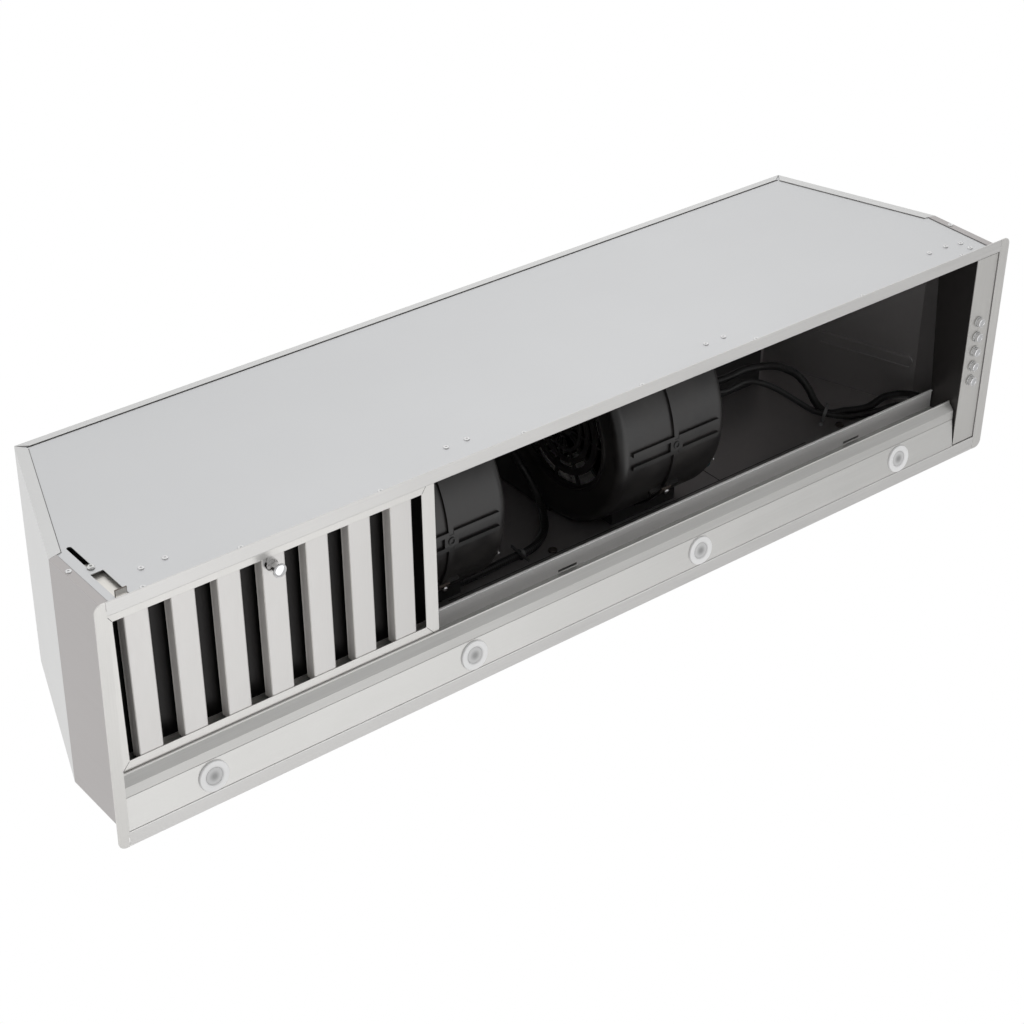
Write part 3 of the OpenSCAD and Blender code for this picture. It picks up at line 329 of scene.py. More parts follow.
@dataclass(frozen=True)
class BrightMetal:
    """Polished or plated metal with faint handling marks."""

    name: str
    colour: Point3
    roughness: float = 0.14
    metal: float = 1.0
    mark_size: float = 4.0 * MM
    mark_depth: float = 0.03 * MM
    mark_tone: float = 0.9
    spread: Point2 = (0.0, 0.1)
    relief: float = 0.04

    def make(self) -> bpy.types.Material:
        """Builds the material.

        Returns:
            The material.
        """
        recipe = Recipe(self.name)
        recipe.set(Metallic=self.metal)
        marks = recipe.noise((1.0 / self.mark_size,) * 3, detail=4.0)
        recipe.feed("Base Color", recipe.blend(marks, shaded(self.colour, self.mark_tone), self.colour))
        recipe.feed("Roughness", recipe.ramp(marks, *(self.roughness + s for s in self.spread)))
        return recipe.bump(marks, self.relief, self.mark_depth).material


@dataclass(frozen=True)
class Moulded:
    """Moulded plastic or rubber: a fine pebble, a low sheen and some dust on it."""

    name: str
    colour: Point3
    roughness: float = 0.5
    pebble: float = 0.7 * MM
    pebble_depth: float = 0.06 * MM
    dust: Point3 = (0.06, 0.055, 0.05)
    dust_share: float = 0.0
    dust_scale: float = 26.0
    dust_span: Point2 = (0.35, 0.75)
    clean_tone: float = 0.92
    spread: Point2 = (-0.06, 0.08)
    relief: float = 0.15

    def make(self) -> bpy.types.Material:
        """Builds the material.

        Returns:
            The material.
        """
        recipe = Recipe(self.name)
        grain = recipe.noise((1.0 / self.pebble,) * 3)
        cloud = recipe.noise((self.dust_scale,) * 3, detail=5.0)
        dusty = tuple(c + (d - c) * self.dust_share for c, d in zip(self.colour, self.dust))
        clean = shaded(self.colour, self.clean_tone)
        recipe.feed("Base Color", recipe.blend(cloud, clean, dusty, self.dust_span))
        recipe.feed("Roughness", recipe.ramp(cloud, *(self.roughness + s for s in self.spread)))
        return recipe.bump(grain, self.relief, self.pebble_depth).material


@dataclass(frozen=True)
class FrostedLens:
    """A frosted lens: pale at its rim, darker over the diode in its middle."""

    name: str
    rim: Point3 = (0.62, 0.62, 0.62)
    core: Point3 = (0.33, 0.33, 0.33)
    core_span: Point2 = (0.3, 0.8)
    roughness: float = 0.3
    frost_scale: float = 1400.0
    frost_depth: float = 0.03 * MM
    relief: float = 0.15

    def make(self) -> bpy.types.Material:
        """Builds the material.

        Returns:
            The material.
        """
        recipe = Recipe(self.name)
        recipe.set(Roughness=self.roughness)
        centre = recipe.nodes.new("ShaderNodeAttribute")
        centre.attribute_name = "core"
        recipe.feed("Base Color", recipe.blend(centre.outputs["Fac"], self.rim, self.core, self.core_span))
        frost = recipe.noise((self.frost_scale,) * 3)
        return recipe.bump(frost, self.relief, self.frost_depth).material


@dataclass(frozen=True)
class PrintedBoard:
    """Green laminate with paler copper runs under its lacquer."""

    name: str
    colour: Point3 = (0.01, 0.06, 0.025)
    copper: Point3 = (0.02, 0.12, 0.05)
    lacquer: float = 0.35
    paler: float = 1.4
    runs_scale: Point3 = (220.0, 150.0, 150.0)
    run_width: float = 0.08

    def make(self) -> bpy.types.Material:
        """Builds the material.

        Returns:
            The material.
        """
        recipe = Recipe(self.name)
        recipe.set(Roughness=self.lacquer)
        runs = recipe.nodes.new("ShaderNodeTexBrick")
        runs.inputs["Color1"].default_value = (*self.colour, 1.0)
        runs.inputs["Color2"].default_value = (*shaded(self.colour, self.paler), 1.0)
        runs.inputs["Mortar"].default_value = (*self.copper, 1.0)
        runs.inputs["Scale"].default_value = 1.0
        runs.inputs["Mortar Size"].default_value = self.run_width
        recipe.links.new(recipe.mapped(self.runs_scale), runs.inputs["Vector"])
        return recipe.feed("Base Color", runs.outputs["Color"]).material


class Finishes:
    """Every finish of the liner, made once."""

    def __init__(self) -> None:
        """Makes the materials."""
        self.front = BrushedSteel(
            "front_sheet", (0.585, 0.59, 0.597), roughness=0.4, contrast=0.02, relief=0.05
        ).make()
        self.wrap = BrushedSteel("wrap_sheet", (0.62, 0.62, 0.615), contrast=0.025, relief=0.06).make()
        # Painted shade: the end sheets are darker than the front sheet and their own flange strip, for the
        # shade on the ends
        self.end = BrushedSteel("end_sheet", (0.43, 0.41, 0.405), Axis.Z, contrast=0.03, relief=0.06).make()
        # Painted shade: the inner faces take a darker steel for the shade inside the liner
        self.inside = BrushedSteel("inner_sheet_painted_shade", (0.43, 0.415, 0.415), roughness=0.33, relief=0.05).make()
        self.flange = BrushedSteel("flange_steel", (0.69, 0.682, 0.67)).make()
        self.flange_end = BrushedSteel("flange_end_steel", (0.70, 0.69, 0.67), Axis.Y).make()
        self.strip = BrushedSteel("light_strip_steel", (0.62, 0.615, 0.60), contrast=0.04).make()
        self.lip = BrushedSteel("channel_steel", (0.6, 0.595, 0.58), contrast=0.06).make()
        # Painted light: the shelf's steel is painted near-white to brighten it in the channel's shade
        self.shelf = BrushedSteel("shelf_painted_light", (0.93, 0.92, 0.91), metal=0.3, contrast=0.07).make()
        # Painted highlight: the near-white line of the shelf's hem
        self.hem = BrushedSteel("hem_painted_highlight", (0.95, 0.945, 0.94), metal=0.3, roughness=0.25).make()
        self.slat = BrushedSteel("slat_steel", (0.65, 0.638, 0.625), Axis.Y, contrast=0.035).make()
        # Painted light: the slats' lips, the same steel as the slats, are painted near-white for the light on
        # them
        self.slat_lip = BrushedSteel(
            "slat_lip_painted_light", (0.93, 0.9, 0.87), Axis.Y, metal=0.3, contrast=0.06
        ).make()
        # Painted shade: the rear slats are near-black for the deep shade behind the front slats
        self.back_slat_shade = BrushedSteel("back_slat_painted_shade", (0.012, 0.011, 0.011), Axis.Y, contrast=0.1).make()
        # Painted shade along the edges of the folded strips
        self.fold_shade = Moulded("fold_shadow", (0.22, 0.215, 0.21), 0.7).make()
        # Dark steel for the blower clips, and painted shade on the clamps' jaws
        self.clip_dark_jaw_shade = BrushedSteel("clip_steel_jaw_shade", (0.14, 0.115, 0.1), line_length=0.02, roughness=0.3).make()
        self.filter_frame = BrushedSteel("filter_frame_steel", (0.70, 0.69, 0.67), Axis.Y).make()
        self.control = BrushedSteel("control_steel", (0.64, 0.63, 0.61), Axis.Y).make()
        self.zinc = BrushedSteel(
            "zinc_sheet", (0.40, 0.36, 0.31), Axis.Z, metal=0.6, roughness=0.45, contrast=0.12,
            line_length=0.02,
        ).make()
        self.rivet = BrightMetal("rivet_aluminium", (0.72, 0.72, 0.72), 0.3, 0.8).make()
        self.chrome = BrightMetal("polished_chrome", (0.86, 0.86, 0.87), 0.1).make()
        self.plated = BrightMetal("plated_steel", (0.66, 0.66, 0.65), 0.22).make()
        self.cast = BrightMetal("cast_alloy", (0.3, 0.3, 0.305), 0.45, 0.8).make()
        self.white = Moulded("white_plastic", (0.93, 0.93, 0.93), 0.3, relief=0.02).make()
        # Painted shade: the clear nylon ties are painted dark grey for the shade behind the cables
        self.nylon_shade = Moulded("clear_nylon_painted_shade", (0.13, 0.13, 0.13), 0.35, relief=0.02).make()
        self.teal = Moulded("teal_sleeve", (0.0, 0.14, 0.16), 0.4).make()
        self.lens = FrostedLens("frosted_lens").make()
        self.blower = Moulded("blower_plastic", (0.0095, 0.0088, 0.009), 0.36, dust_share=0.35).make()
        self.housing = Moulded("housing_plastic", (0.03, 0.03, 0.03), 0.55).make()
        self.sleeve = Moulded("cable_sleeve", (0.008, 0.008, 0.008), 0.42, pebble=1.5 * MM).make()
        self.rubber = Moulded("clip_rubber", (0.045, 0.036, 0.032), 0.6).make()
        # Painted shade: dark strips and faces for the shadow in seams, joints and holes
        self.gap = Moulded("seam_shadow", (0.05, 0.048, 0.046), 0.8).make()
        self.board = PrintedBoard("green_board").make()
        # Painted shade: the box over the switches is near-black for the shade in the control strip
        self.switch_box_shade = BrushedSteel("switch_box_painted_shade", (0.07, 0.065, 0.063), Axis.Y, roughness=0.4).make()
        self.bracket = BrushedSteel(
            "bracket_steel", (0.74, 0.72, 0.68), Axis.Z, line_length=0.02, contrast=0.08
        ).make()
        # Painted light: the wheels are painted near-white for the light on them behind the grilles
        self.cage_lit = BrushedSteel(
            "wheel_painted_light", (0.92, 0.9, 0.88), metal=0.35, line_length=0.03, roughness=0.4
        ).make()


# Modelling with the edit-mode operators


def clear_selection() -> None:
    """Deselects every object."""
    if bpy.context.object and bpy.context.object.mode != "OBJECT":
        bpy.ops.object.mode_set(mode="OBJECT")
    bpy.ops.object.select_all(action="DESELECT")


def take(piece: Piece) -> None:
    """Makes one object the selected and active one.

    Args:
        piece: The object.
    """
    clear_selection()
    piece.select_set(True)
    bpy.context.view_layer.objects.active = piece


@contextmanager
def editing(piece: Piece) -> Iterator[None]:
    """Opens a piece in edit mode with nothing selected, and closes it again.

    Args:
        piece: The mesh object to edit.

    Yields:
        Nothing, while the piece is open.
    """
    take(piece)
    bpy.ops.object.mode_set(mode="EDIT")
    bpy.ops.mesh.select_mode(type="EDGE")
    bpy.ops.mesh.select_all(action="DESELECT")
    yield
    bpy.ops.object.mode_set(mode="OBJECT")


def pick_edges(test: Callable[[Vector], bool]) -> None:
    """Selects the open mesh's edges whose ends both pass a test, and nothing else.

    Args:
        test: Takes a vertex's place, says whether it counts.
    """
    mesh = bmesh.from_edit_mesh(bpy.context.object.data)
    for vert in mesh.verts:
        vert.select = False
    for edge in mesh.edges:
        edge.select = False
    for edge in mesh.edges:
        if all(test(v.co) for v in edge.verts):
            edge.select = True
    mesh.select_flush(True)
    bmesh.update_edit_mesh(bpy.context.object.data)


def close_mesh() -> None:
    """In edit mode: merges doubles and points every face outwards."""
    bpy.ops.mesh.select_all(action="SELECT")
    bpy.ops.mesh.remove_doubles(threshold=WELD)
    bpy.ops.mesh.normals_make_consistent(inside=False)


def settle(piece: Piece) -> None:
    """Applies a piece's place, turn and size to its mesh."""
    take(piece)
    bpy.ops.object.transform_apply(location=True, rotation=True, scale=True)


def apply_modifier(piece: Piece, kind: str, **settings: object) -> None:
    """Adds a modifier to a piece and applies it.

    Args:
        piece: The mesh object.
        kind: The modifier's type.
        settings: Its settings by name.
    """
    take(piece)
    modifier = piece.modifiers.new(kind.lower(), kind)
    for name, value in settings.items():
        setattr(modifier, name, value)
    bpy.ops.object.modifier_apply(modifier=modifier.name)


def rounded(piece: Piece, width: float, steps: int = 2) -> None:
    """Rounds a piece's sharp edges.

    Args:
        piece: The mesh object.
        width: Width of the round.
        steps: Segments of the round.
    """
    apply_modifier(
        piece, "BEVEL", width=width, segments=steps, limit_method="ANGLE",
        angle_limit=math.radians(SHARP_ANGLE), miter_outer="MITER_ARC",
    )


def shade(piece: Piece, how: Shade) -> None:
    """Shades a piece smooth up to an angle, with its large faces kept flat.

    Args:
        piece: The mesh object.
        how: The angle.
    """
    take(piece)
    bpy.ops.object.shade_smooth_by_angle(angle=math.radians(how.value))
    apply_modifier(piece, "WEIGHTED_NORMAL", mode="FACE_AREA", weight=100, keep_sharp=True)


def painted(piece: Piece, finish: bpy.types.Material) -> None:
    """Gives a piece one finish."""
    piece.data.materials.clear()
    piece.data.materials.append(finish)


def repainted_faces(piece: Piece, finish: bpy.types.Material, test: FaceTest) -> None:
    """Gives a second finish to the faces that pass a test.

    Args:
        piece: The mesh object.
        finish: The second finish.
        test: Takes a face's centre and normal, says whether it counts.
    """
    piece.data.materials.append(finish)
    index = len(piece.data.materials) - 1
    for polygon in piece.data.polygons:
        if test(polygon.center, polygon.normal):
            polygon.material_index = index


def joined(name: str, parts: Sequence[Piece]) -> Piece:
    """Joins pieces into one object.

    Args:
        name: Name of the result.
        parts: The objects to join.

    Returns:
        The joined object.
    """
    take(parts[0])
    for part in parts:
        part.select_set(True)
    if len(parts) > 1:
        bpy.ops.object.join()
    parts[0].name = name
    return parts[0]


def moved(piece: Piece, place: Matrix) -> Piece:
    """Moves a piece's mesh by a matrix, and keeps its faces outwards.

    Args:
        piece: The mesh object.
        place: The matrix, which may mirror it.

    Returns:
        The piece.
    """
    piece.data.transform(place)
    if place.determinant() < 0.0:
        with editing(piece):
            close_mesh()
    return piece


def copied(piece: Piece, place: Matrix) -> Piece:
    """A copy of a piece with its own mesh.

    Args:
        piece: The object to copy.
        place: Moves the copy.

    Returns:
        The copy.
    """
    copy = piece.copy()
    copy.data = piece.data.copy()
    bpy.context.scene.collection.objects.link(copy)
    return moved(copy, place)


def repeated(name: str, model: Piece, places: Sequence[Matrix]) -> Piece:
    """Copies a model to each of its places and joins the copies.

    Args:
        name: Name of the result.
        model: The model, which is used up.
        places: Moves each copy.

    Returns:
        The joined copies.
    """
    copies = [copied(model, place) for place in places]
    bpy.data.objects.remove(model)
    return joined(name, copies)


def spaced(step: Point3, count: int) -> list[Matrix]:
    """The shifts of a row of copies, the first of which stays where the model is."""
    return [Matrix.Translation(Vector(step) * i) for i in range(count)]


def refined(node: str, name: str, width: float) -> Piece:
    """A merged copy of a CAD node with rounded edges, which stands for it.

    Args:
        node: The CAD node.
        name: Name of the new piece.
        width: Width of the round on its edges.

    Returns:
        The new piece.
    """
    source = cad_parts[node]
    piece = bpy.data.objects.new(name, source.data.copy())
    bpy.context.scene.collection.objects.link(piece)
    with editing(piece):
        bpy.ops.mesh.select_all(action="SELECT")
        bpy.ops.mesh.customdata_custom_splitnormals_clear()
        bpy.ops.mesh.remove_doubles(threshold=WELD)
        bpy.ops.mesh.dissolve_limited(angle_limit=math.radians(FLAT_ANGLE))
    rounded(piece, width)
    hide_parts(node)
    return piece


def bent_strip(
    name: str,
    span: Point2,
    profile: Sequence[Point2],
    thickness: float,
    bend: float,
) -> Piece:
    """A strip along X bent to a profile: one face, extruded from edge to edge, then thickened.

    Args:
        name: Name of the strip.
        span: Where the strip starts and ends along X.
        profile: The (y, z) points that the middle of its sheet passes through.
        thickness: Thickness of the sheet.
        bend: Radius of its edges.

    Returns:
        The strip.
    """
    clear_selection()
    first, second = Vector(profile[0]), Vector(profile[1])
    middle, run = (first + second) / 2, second - first
    bpy.ops.mesh.primitive_plane_add(
        size=1.0,
        location=((span[0] + span[1]) / 2, middle.x, middle.y),
        rotation=(math.atan2(run.y, run.x), 0.0, 0.0),
    )
    strip = bpy.context.object
    strip.name = name
    strip.scale = (span[1] - span[0], run.length, 1.0)
    settle(strip)
    with editing(strip):
        edge = Vector((0.0, second.x, second.y))
        pick_edges(lambda place: (Vector((0.0, place.y, place.z)) - edge).length < 10 * WELD)
        for start, end in zip(profile[1:], profile[2:]):
            step = (0.0, end[0] - start[0], end[1] - start[1])
            bpy.ops.mesh.extrude_region_move(TRANSFORM_OT_translate={"value": step})
    apply_modifier(strip, "SOLIDIFY", thickness=thickness, offset=0.0, use_even_offset=True)
    rounded(strip, bend, 3)
    return strip


def upright(place: Vector, up: Vector) -> Matrix:
    """Carries a piece made along Z to a place, with its axis turned to a direction."""
    return Matrix.Translation(place) @ UP.rotation_difference(up.normalized()).to_matrix().to_4x4()


def turned(name: str, profile: Sequence[Point2], place: Vector, up: Vector, sides: int) -> Piece:
    """A turned piece: a ring, extruded and resized from step to step of its profile.

    Args:
        name: Name of the piece.
        profile: The (radius, height) points from its foot to its top.
        place: Where its foot's centre stands.
        up: The direction of its axis.
        sides: Sides of the ring.

    Returns:
        The piece.
    """
    clear_selection()
    start, foot = profile[0]
    bpy.ops.mesh.primitive_circle_add(vertices=sides, radius=start, location=(0.0, 0.0, foot))
    piece = bpy.context.object
    piece.name = name
    settle(piece)
    with editing(piece):
        bpy.ops.mesh.select_all(action="SELECT")
        bpy.ops.mesh.edge_face_add()
        bpy.ops.mesh.select_mode(type="FACE")
        for (radius, height), (wider, higher) in zip(profile, profile[1:]):
            bpy.ops.mesh.extrude_region_move(TRANSFORM_OT_translate={"value": (0.0, 0.0, higher - height)})
            share = wider / radius
            bpy.ops.transform.resize(value=(share, share, 1.0), center_override=(0.0, 0.0, higher))
        close_mesh()
    return moved(piece, upright(place, up))


def eased(points: Sequence[Point2], radius: float) -> list[Point2]:
    """A line with an arc at each of its inner corners.

    Args:
        points: The line's corners.
        radius: Radius of the arcs.

    Returns:
        The points of the eased line.
    """
    line: list[Point2] = [points[0]]
    for before, corner, after in zip(points, points[1:], points[2:]):
        here = Vector(corner)
        back, on = (Vector(before) - here), (Vector(after) - here)
        half = back.angle(on) / 2
        room = CORNER_SHARE * min(back.length, on.length)
        reach = min(radius / math.tan(half), room)
        r = reach * math.tan(half)
        centre = here + (back.normalized() + on.normalized()).normalized() * (r / math.sin(half))
        start, end = here + back.normalized() * reach - centre, here + on.normalized() * reach - centre
        turn = start.angle_signed(end)
        for i in range(BEND_STEPS + 1):
            angle = -turn * i / BEND_STEPS
            line.append((
                centre.x + start.x * math.cos(angle) - start.y * math.sin(angle),
                centre.y + start.x * math.sin(angle) + start.y * math.cos(angle),
            ))
    return [*line, points[-1]]


def cut(piece: Piece, tool: Piece) -> None:
    """Cuts a piece with a tool piece, which is used up."""
    apply_modifier(piece, "BOOLEAN", object=tool, operation="DIFFERENCE", solver="EXACT")
    bpy.data.objects.remove(tool)


def band(name: str, radius: float, width: float, thickness: float, sides: int) -> Piece:
    """A flat hoop round the Z axis with rounded edges.

    Args:
        name: Name of the hoop.
        radius: Its inner radius.
        width: Its width along the axis.
        thickness: Thickness of its wall.
        sides: Sides of the ring.

    Returns:
        The hoop.
    """
    clear_selection()
    bpy.ops.mesh.primitive_cylinder_add(
        vertices=sides, radius=radius + thickness, depth=width, end_fill_type="NOTHING",
        location=(0.0, 0.0, 0.0),
    )
    piece = bpy.context.object
    piece.name = name
    apply_modifier(piece, "SOLIDIFY", thickness=thickness, offset=-1.0)
    rounded(piece, thickness * HOOP_EDGE_SHARE)
    return piece


def slab(name: str, low: Sequence[float], high: Sequence[float], edge: float) -> Piece:
    """A bar between two corners with rounded edges.

    Args:
        name: Name of the bar.
        low: Its lowest corner.
        high: Its highest corner.
        edge: Radius of its edges.

    Returns:
        The bar.
    """
    clear_selection()
    centre = [(a + b) / 2 for a, b in zip(low, high)]
    bpy.ops.mesh.primitive_cube_add(size=1.0, location=centre)
    bar = bpy.context.object
    bar.name = name
    bar.scale = [b - a for a, b in zip(low, high)]
    settle(bar)
    rounded(bar, edge)
    return bar


def arc(centre: Point2, radius: float, start: float, end: float, steps: int) -> list[Point2]:
    """Points on an arc.

    Args:
        centre: The arc's centre.
        radius: Its radius.
        start: First angle in degrees.
        end: Last angle in degrees.
        steps: Number of steps.

    Returns:
        The points, both ends included.
    """
    angles = [math.radians(start + (end - start) * i / steps) for i in range(steps + 1)]
    return [(centre[0] + radius * math.cos(a), centre[1] + radius * math.sin(a)) for a in angles]


def line_along_x(start: float, end: float, y: float, z: float, steps: int) -> list[Vector]:
    """Even points on a line along X."""
    return [Vector((start + (end - start) * i / steps, y, z)) for i in range(steps + 1)]


def smooth_path(points: Sequence[Point3], steps: int) -> list[Vector]:
    """The same smooth line through a route's points as the CAD cable follows.

    Args:
        points: The route's points.
        steps: Steps from point to point.

    Returns:
        The points of the smooth line.
    """
    route = [Vector(p) for p in points]
    last = len(route) - 1
    line: list[Vector] = []
    for i in range(last):
        a, b, c, d = route[max(i - 1, 0)], route[i], route[i + 1], route[min(i + 2, last)]
        for k in range(steps):
            t = k / steps
            bent = (2 * a - 5 * b + 4 * c - d) * t**2 + (3 * b - a - 3 * c + d) * t**3
            line.append(0.5 * (2 * b + (c - a) * t + bent))
    return [*line, route[last]]


def ribs_along(
    line: Sequence[Vector], radius: float, pitch: float, depth: float
) -> tuple[list[Vector], list[float]]:
    """Even places along a line for a corrugated sleeve.

    Args:
        line: The line's points.
        radius: The sleeve's outer radius.
        pitch: Distance from rib to rib.
        depth: Depth of the grooves.

    Returns:
        Four places for each rib, and the share of the radius at each.
    """
    step = pitch / 4
    places, gone, wanted = [line[0].copy()], 0.0, step
    for a, b in zip(line, line[1:]):
        length = (b - a).length
        while length > 0.0 and gone + length >= wanted:
            places.append(a.lerp(b, (wanted - gone) / length))
            wanted += step
        gone += length
    groove = 1.0 - depth / radius
    return places, [1.0 if i % 4 < 2 else groove for i in range(len(places))]


def tube(
    name: str,
    line: Sequence[Vector],
    radius: float,
    sides: int = 4,
    radii: Optional[Sequence[float]] = None,
) -> Piece:
    """A round tube along a line, with closed ends.

    Args:
        name: Name of the tube.
        line: The points of its middle.
        radius: Its radius.
        sides: The curve's bevel resolution.
        radii: The share of the radius at each point, if it isn't the same all along.

    Returns:
        The tube as a mesh.
    """
    curve = bpy.data.curves.new(name, "CURVE")
    curve.dimensions = "3D"
    curve.bevel_depth = radius
    curve.bevel_resolution = sides
    curve.use_fill_caps = True
    spline = curve.splines.new("POLY")
    spline.points.add(len(line) - 1)
    for i, (point, place) in enumerate(zip(spline.points, line)):
        point.co = (*place, 1.0)
        point.radius = radii[i] if radii else 1.0
    piece = bpy.data.objects.new(name, curve)
    bpy.context.scene.collection.objects.link(piece)
    take(piece)
    bpy.ops.object.convert(target="MESH")
    piece = bpy.context.object
    with editing(piece):
        close_mesh()
    return piece


@dataclass
class Assembly:
    """A sub-assembly of the liner: it dresses pieces and keeps count of them."""

    finishes: Finishes
    body: str = "liner"
    made: list[str] = field(default_factory=list)

    def add(
        self,
        piece: Piece,
        finish: bpy.types.Material,
        slot: str,
        how: Shade = Shade.CRISP,
        body: Optional[str] = None,
    ) -> Piece:
        """Dresses a finished piece and sets it on its body.

        Args:
            piece: The piece.
            finish: Its finish.
            slot: The record's material slot; not used.
            how: How it is shaded.
            body: The body that it rides on, if not the assembly's own.

        Returns:
            The piece.
        """
        painted(piece, finish)
        shade(piece, how)
        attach(piece, body or self.body)
        self.made.append(piece.name)
        LOG.info("%s rides on %s", piece.name, body or self.body)
        return piece

    def dress(self, node: str, finish: bpy.types.Material) -> None:
        """Gives a CAD node that is carried over its finish.

        Args:
            node: The CAD node.
            finish: Its finish.
        """
        painted(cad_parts[node], finish)
        LOG.info("%s carried over", node)


def faces_inside(centre: Vector, normal: Vector) -> bool:
    """Whether a face of the shell looks into the liner."""
    middle = Vector((centre.x * MIDDLE_SHARE, 0.0, MIDDLE_Z))
    return normal.dot(middle - centre) > 0.0


def rivets_of(mesh: bpy.types.Mesh) -> list[tuple[Vector, Vector]]:
    """Finds each rivet of the CAD node.

    Args:
        mesh: The node's mesh, of loose triangles.

    Returns:
        For each rivet the centre of its foot and the direction that it faces.
    """
    cells: dict[tuple[int, int, int], list[Vector]] = {}
    for vert in mesh.vertices:
        side = 1 if vert.co.y > 0.0 else -1
        key = (round(vert.co.x / RIVET_CELL), side, round(vert.co.z / RIVET_CELL))
        cells.setdefault(key, []).append(vert.co)
    groups: list[list[Vector]] = []
    for (_, side, _), places in sorted(cells.items()):
        first = places[0].xz
        near = [
            group for group in groups
            if (group[0].y > 0.0) == (side > 0) and min((p.xz - first).length for p in group) < RIVET_REACH
        ]
        if near:
            near[0].extend(places)
        else:
            groups.append(list(places))
    found = []
    for group in groups:
        xs, ys, zs = ([place[i] for place in group] for i in range(3))
        foot = Vector(((min(xs) + max(xs)) / 2, min(ys, key=abs), (min(zs) + max(zs)) / 2))
        found.append((foot, Vector((0.0, math.copysign(1.0, foot.y), 0.0))))
    return found


@dataclass
class Shell(Assembly):
    """The walls, the folded strips with their seams, and the rivets."""

    edge: float = 0.3 * MM
    flange_h: float = 1.6 * MM
    seam_w: float = 0.9 * MM
    seam_out: float = 0.35 * MM
    seam_edge: float = 0.1 * MM
    fold_top: float = 8.5 * MM
    fold_corner: float = 9.0 * MM
    fold_side: float = 13.3 * MM
    fold_end: float = 9.6 * MM
    fold_foot: float = 3.0 * MM
    rivet_r: float = 3.2 * MM
    rivet_h: float = 1.2 * MM
    joint_z: float = 121.8 * MM
    joint_x0: float = -122.0 * MM
    joint_x1: float = 428.0 * MM
    joint_x: float = 284.0 * MM
    joint_top: float = 285.0 * MM
    slope_x: float = 70.0 * MM
    slope_start: float = 8.0 * MM
    bead_y: float = 70.0 * MM
    bead_half: float = 6.8 * MM
    bead_share: float = 0.62
    ridge_x: float = 2.4 * MM
    ridge_w: float = 2.6 * MM
    ridge_h: float = 1.6 * MM
    ridge_edge: float = 0.6 * MM

    def build(self) -> None:
        """Builds the shell's pieces."""
        self.walls()
        self.seams()
        self.rivets()
        self.wall_seam()
        self.ridges()

    @property
    def slope(self) -> tuple[Matrix, float]:
        """The left slope's place.

        Returns:
            What carries a piece made along Z onto the slope, and the slope's length.
        """
        low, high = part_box("top_wrap_panel")
        rise = high.z - low.z
        lean = Matrix.Rotation(math.atan2(self.slope_x, rise), 4, "Y")
        return Matrix.Translation((-high.x, 0.0, low.z)) @ lean, math.hypot(self.slope_x, rise)

    def walls(self) -> None:
        """The sheets, with painted shade on their inner faces and on the end sheets."""
        for node, finish in (
            ("front_panel", self.finishes.front),
            ("rear_panel", self.finishes.front),
            # The end sheets' darker finish is painted shade
            ("left_end_panel", self.finishes.end),
            ("right_end_panel", self.finishes.end),
            ("top_wrap_panel", self.finishes.wrap),
        ):
            piece = self.add(refined(node, f"{node}_sheet", self.edge), finish, "steel")
            # Painted shade on the faces that look into the liner
            repainted_faces(piece, self.finishes.inside, faces_inside)
            if node.endswith("end_panel"):
                repainted_faces(piece, self.finishes.flange_end, lambda c, n: c.z < self.flange_h)

    def seams(self) -> None:
        """Painted shadow in the crevices along the inner edges of the strips folded over the front."""
        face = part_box("front_panel")[0].y
        out, line, edge = face - self.seam_out, self.seam_w, self.seam_edge
        low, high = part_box("top_wrap_panel")
        top, end = high.z - self.fold_top, high.x - self.slope_x - self.fold_corner
        bar = slab("top_seam", (-end, out, top - line), (end, face, top), edge)
        self.add(bar, self.finishes.gap, "dark_plastic")
        place, run = self.slope
        start = self.slope_start
        leaning = slab("slope_seam", (-line, out, start), (0.0, face, run - start), edge)
        moved(leaning, place @ Matrix.Translation((self.fold_side, 0.0, 0.0)))
        x = self.fold_end - high.x
        standing = slab("end_seam", (x - line / 2, out, self.fold_foot), (x + line / 2, face, low.z), edge)
        pair = [leaning, standing]
        other = [copied(bar, MIRROR_X) for bar in pair]
        self.add(joined("slope_seams", pair + other), self.finishes.fold_shade, "dark_plastic")

    def rivets(self) -> None:
        """Pop rivets with a rounded head and a sunk middle, where the CAD has its rivets."""
        r, h = self.rivet_r, self.rivet_h
        profile = [
            (r, 0.0), (r, h * 0.3), *arc((r - h * 0.7, h * 0.3), h * 0.7, 0, 90, 4)[1:], (r * 0.42, h),
            (r * 0.34, h * 0.85), (r * 0.3, h * 0.4),
        ]
        places = [upright(foot, out) for foot, out in rivets_of(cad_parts["body_rivets"].data)]
        piece = repeated("pop_rivets", turned("rivet", profile, Vector(), UP, 24), places)
        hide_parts("body_rivets")
        self.add(piece, self.finishes.rivet, "rivet_metal", Shade.SOFT)

    def wall_seam(self) -> None:
        """Painted shadow in the joints between the inner sheets of the rear wall."""
        inner, line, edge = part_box("rear_panel")[0].y, self.seam_w, self.seam_edge
        out, x, z = inner - self.seam_out, self.joint_x, self.joint_z
        parts = [
            slab("wall_seam", (self.joint_x0, out, z - line), (self.joint_x1, inner, z), edge),
            slab("wall_seam_end", (x, out, z), (x + line, inner, self.joint_top), edge),
        ]
        self.add(joined("rear_wall_seams", parts), self.finishes.gap, "dark_plastic")

    def ridges(self) -> None:
        """The two narrow ridges along each slope's stiffening bead."""
        place, run = self.slope
        x, y, half = self.ridge_x, self.bead_y - self.bead_half, self.ridge_w / 2
        low, high = (x, y - half, self.slope_start), (x + self.ridge_h, y + half, run * self.bead_share)
        first = moved(slab("ridge", low, high, self.ridge_edge), place)
        pair = [first, copied(first, Matrix.Translation((0.0, 2 * self.bead_half, 0.0)))]
        other = [copied(bar, MIRROR_X) for bar in pair]
        # The ridges take the inner faces' painted shade
        self.add(joined("bead_ridges", pair + other), self.finishes.inside, "steel", Shade.SOFT)


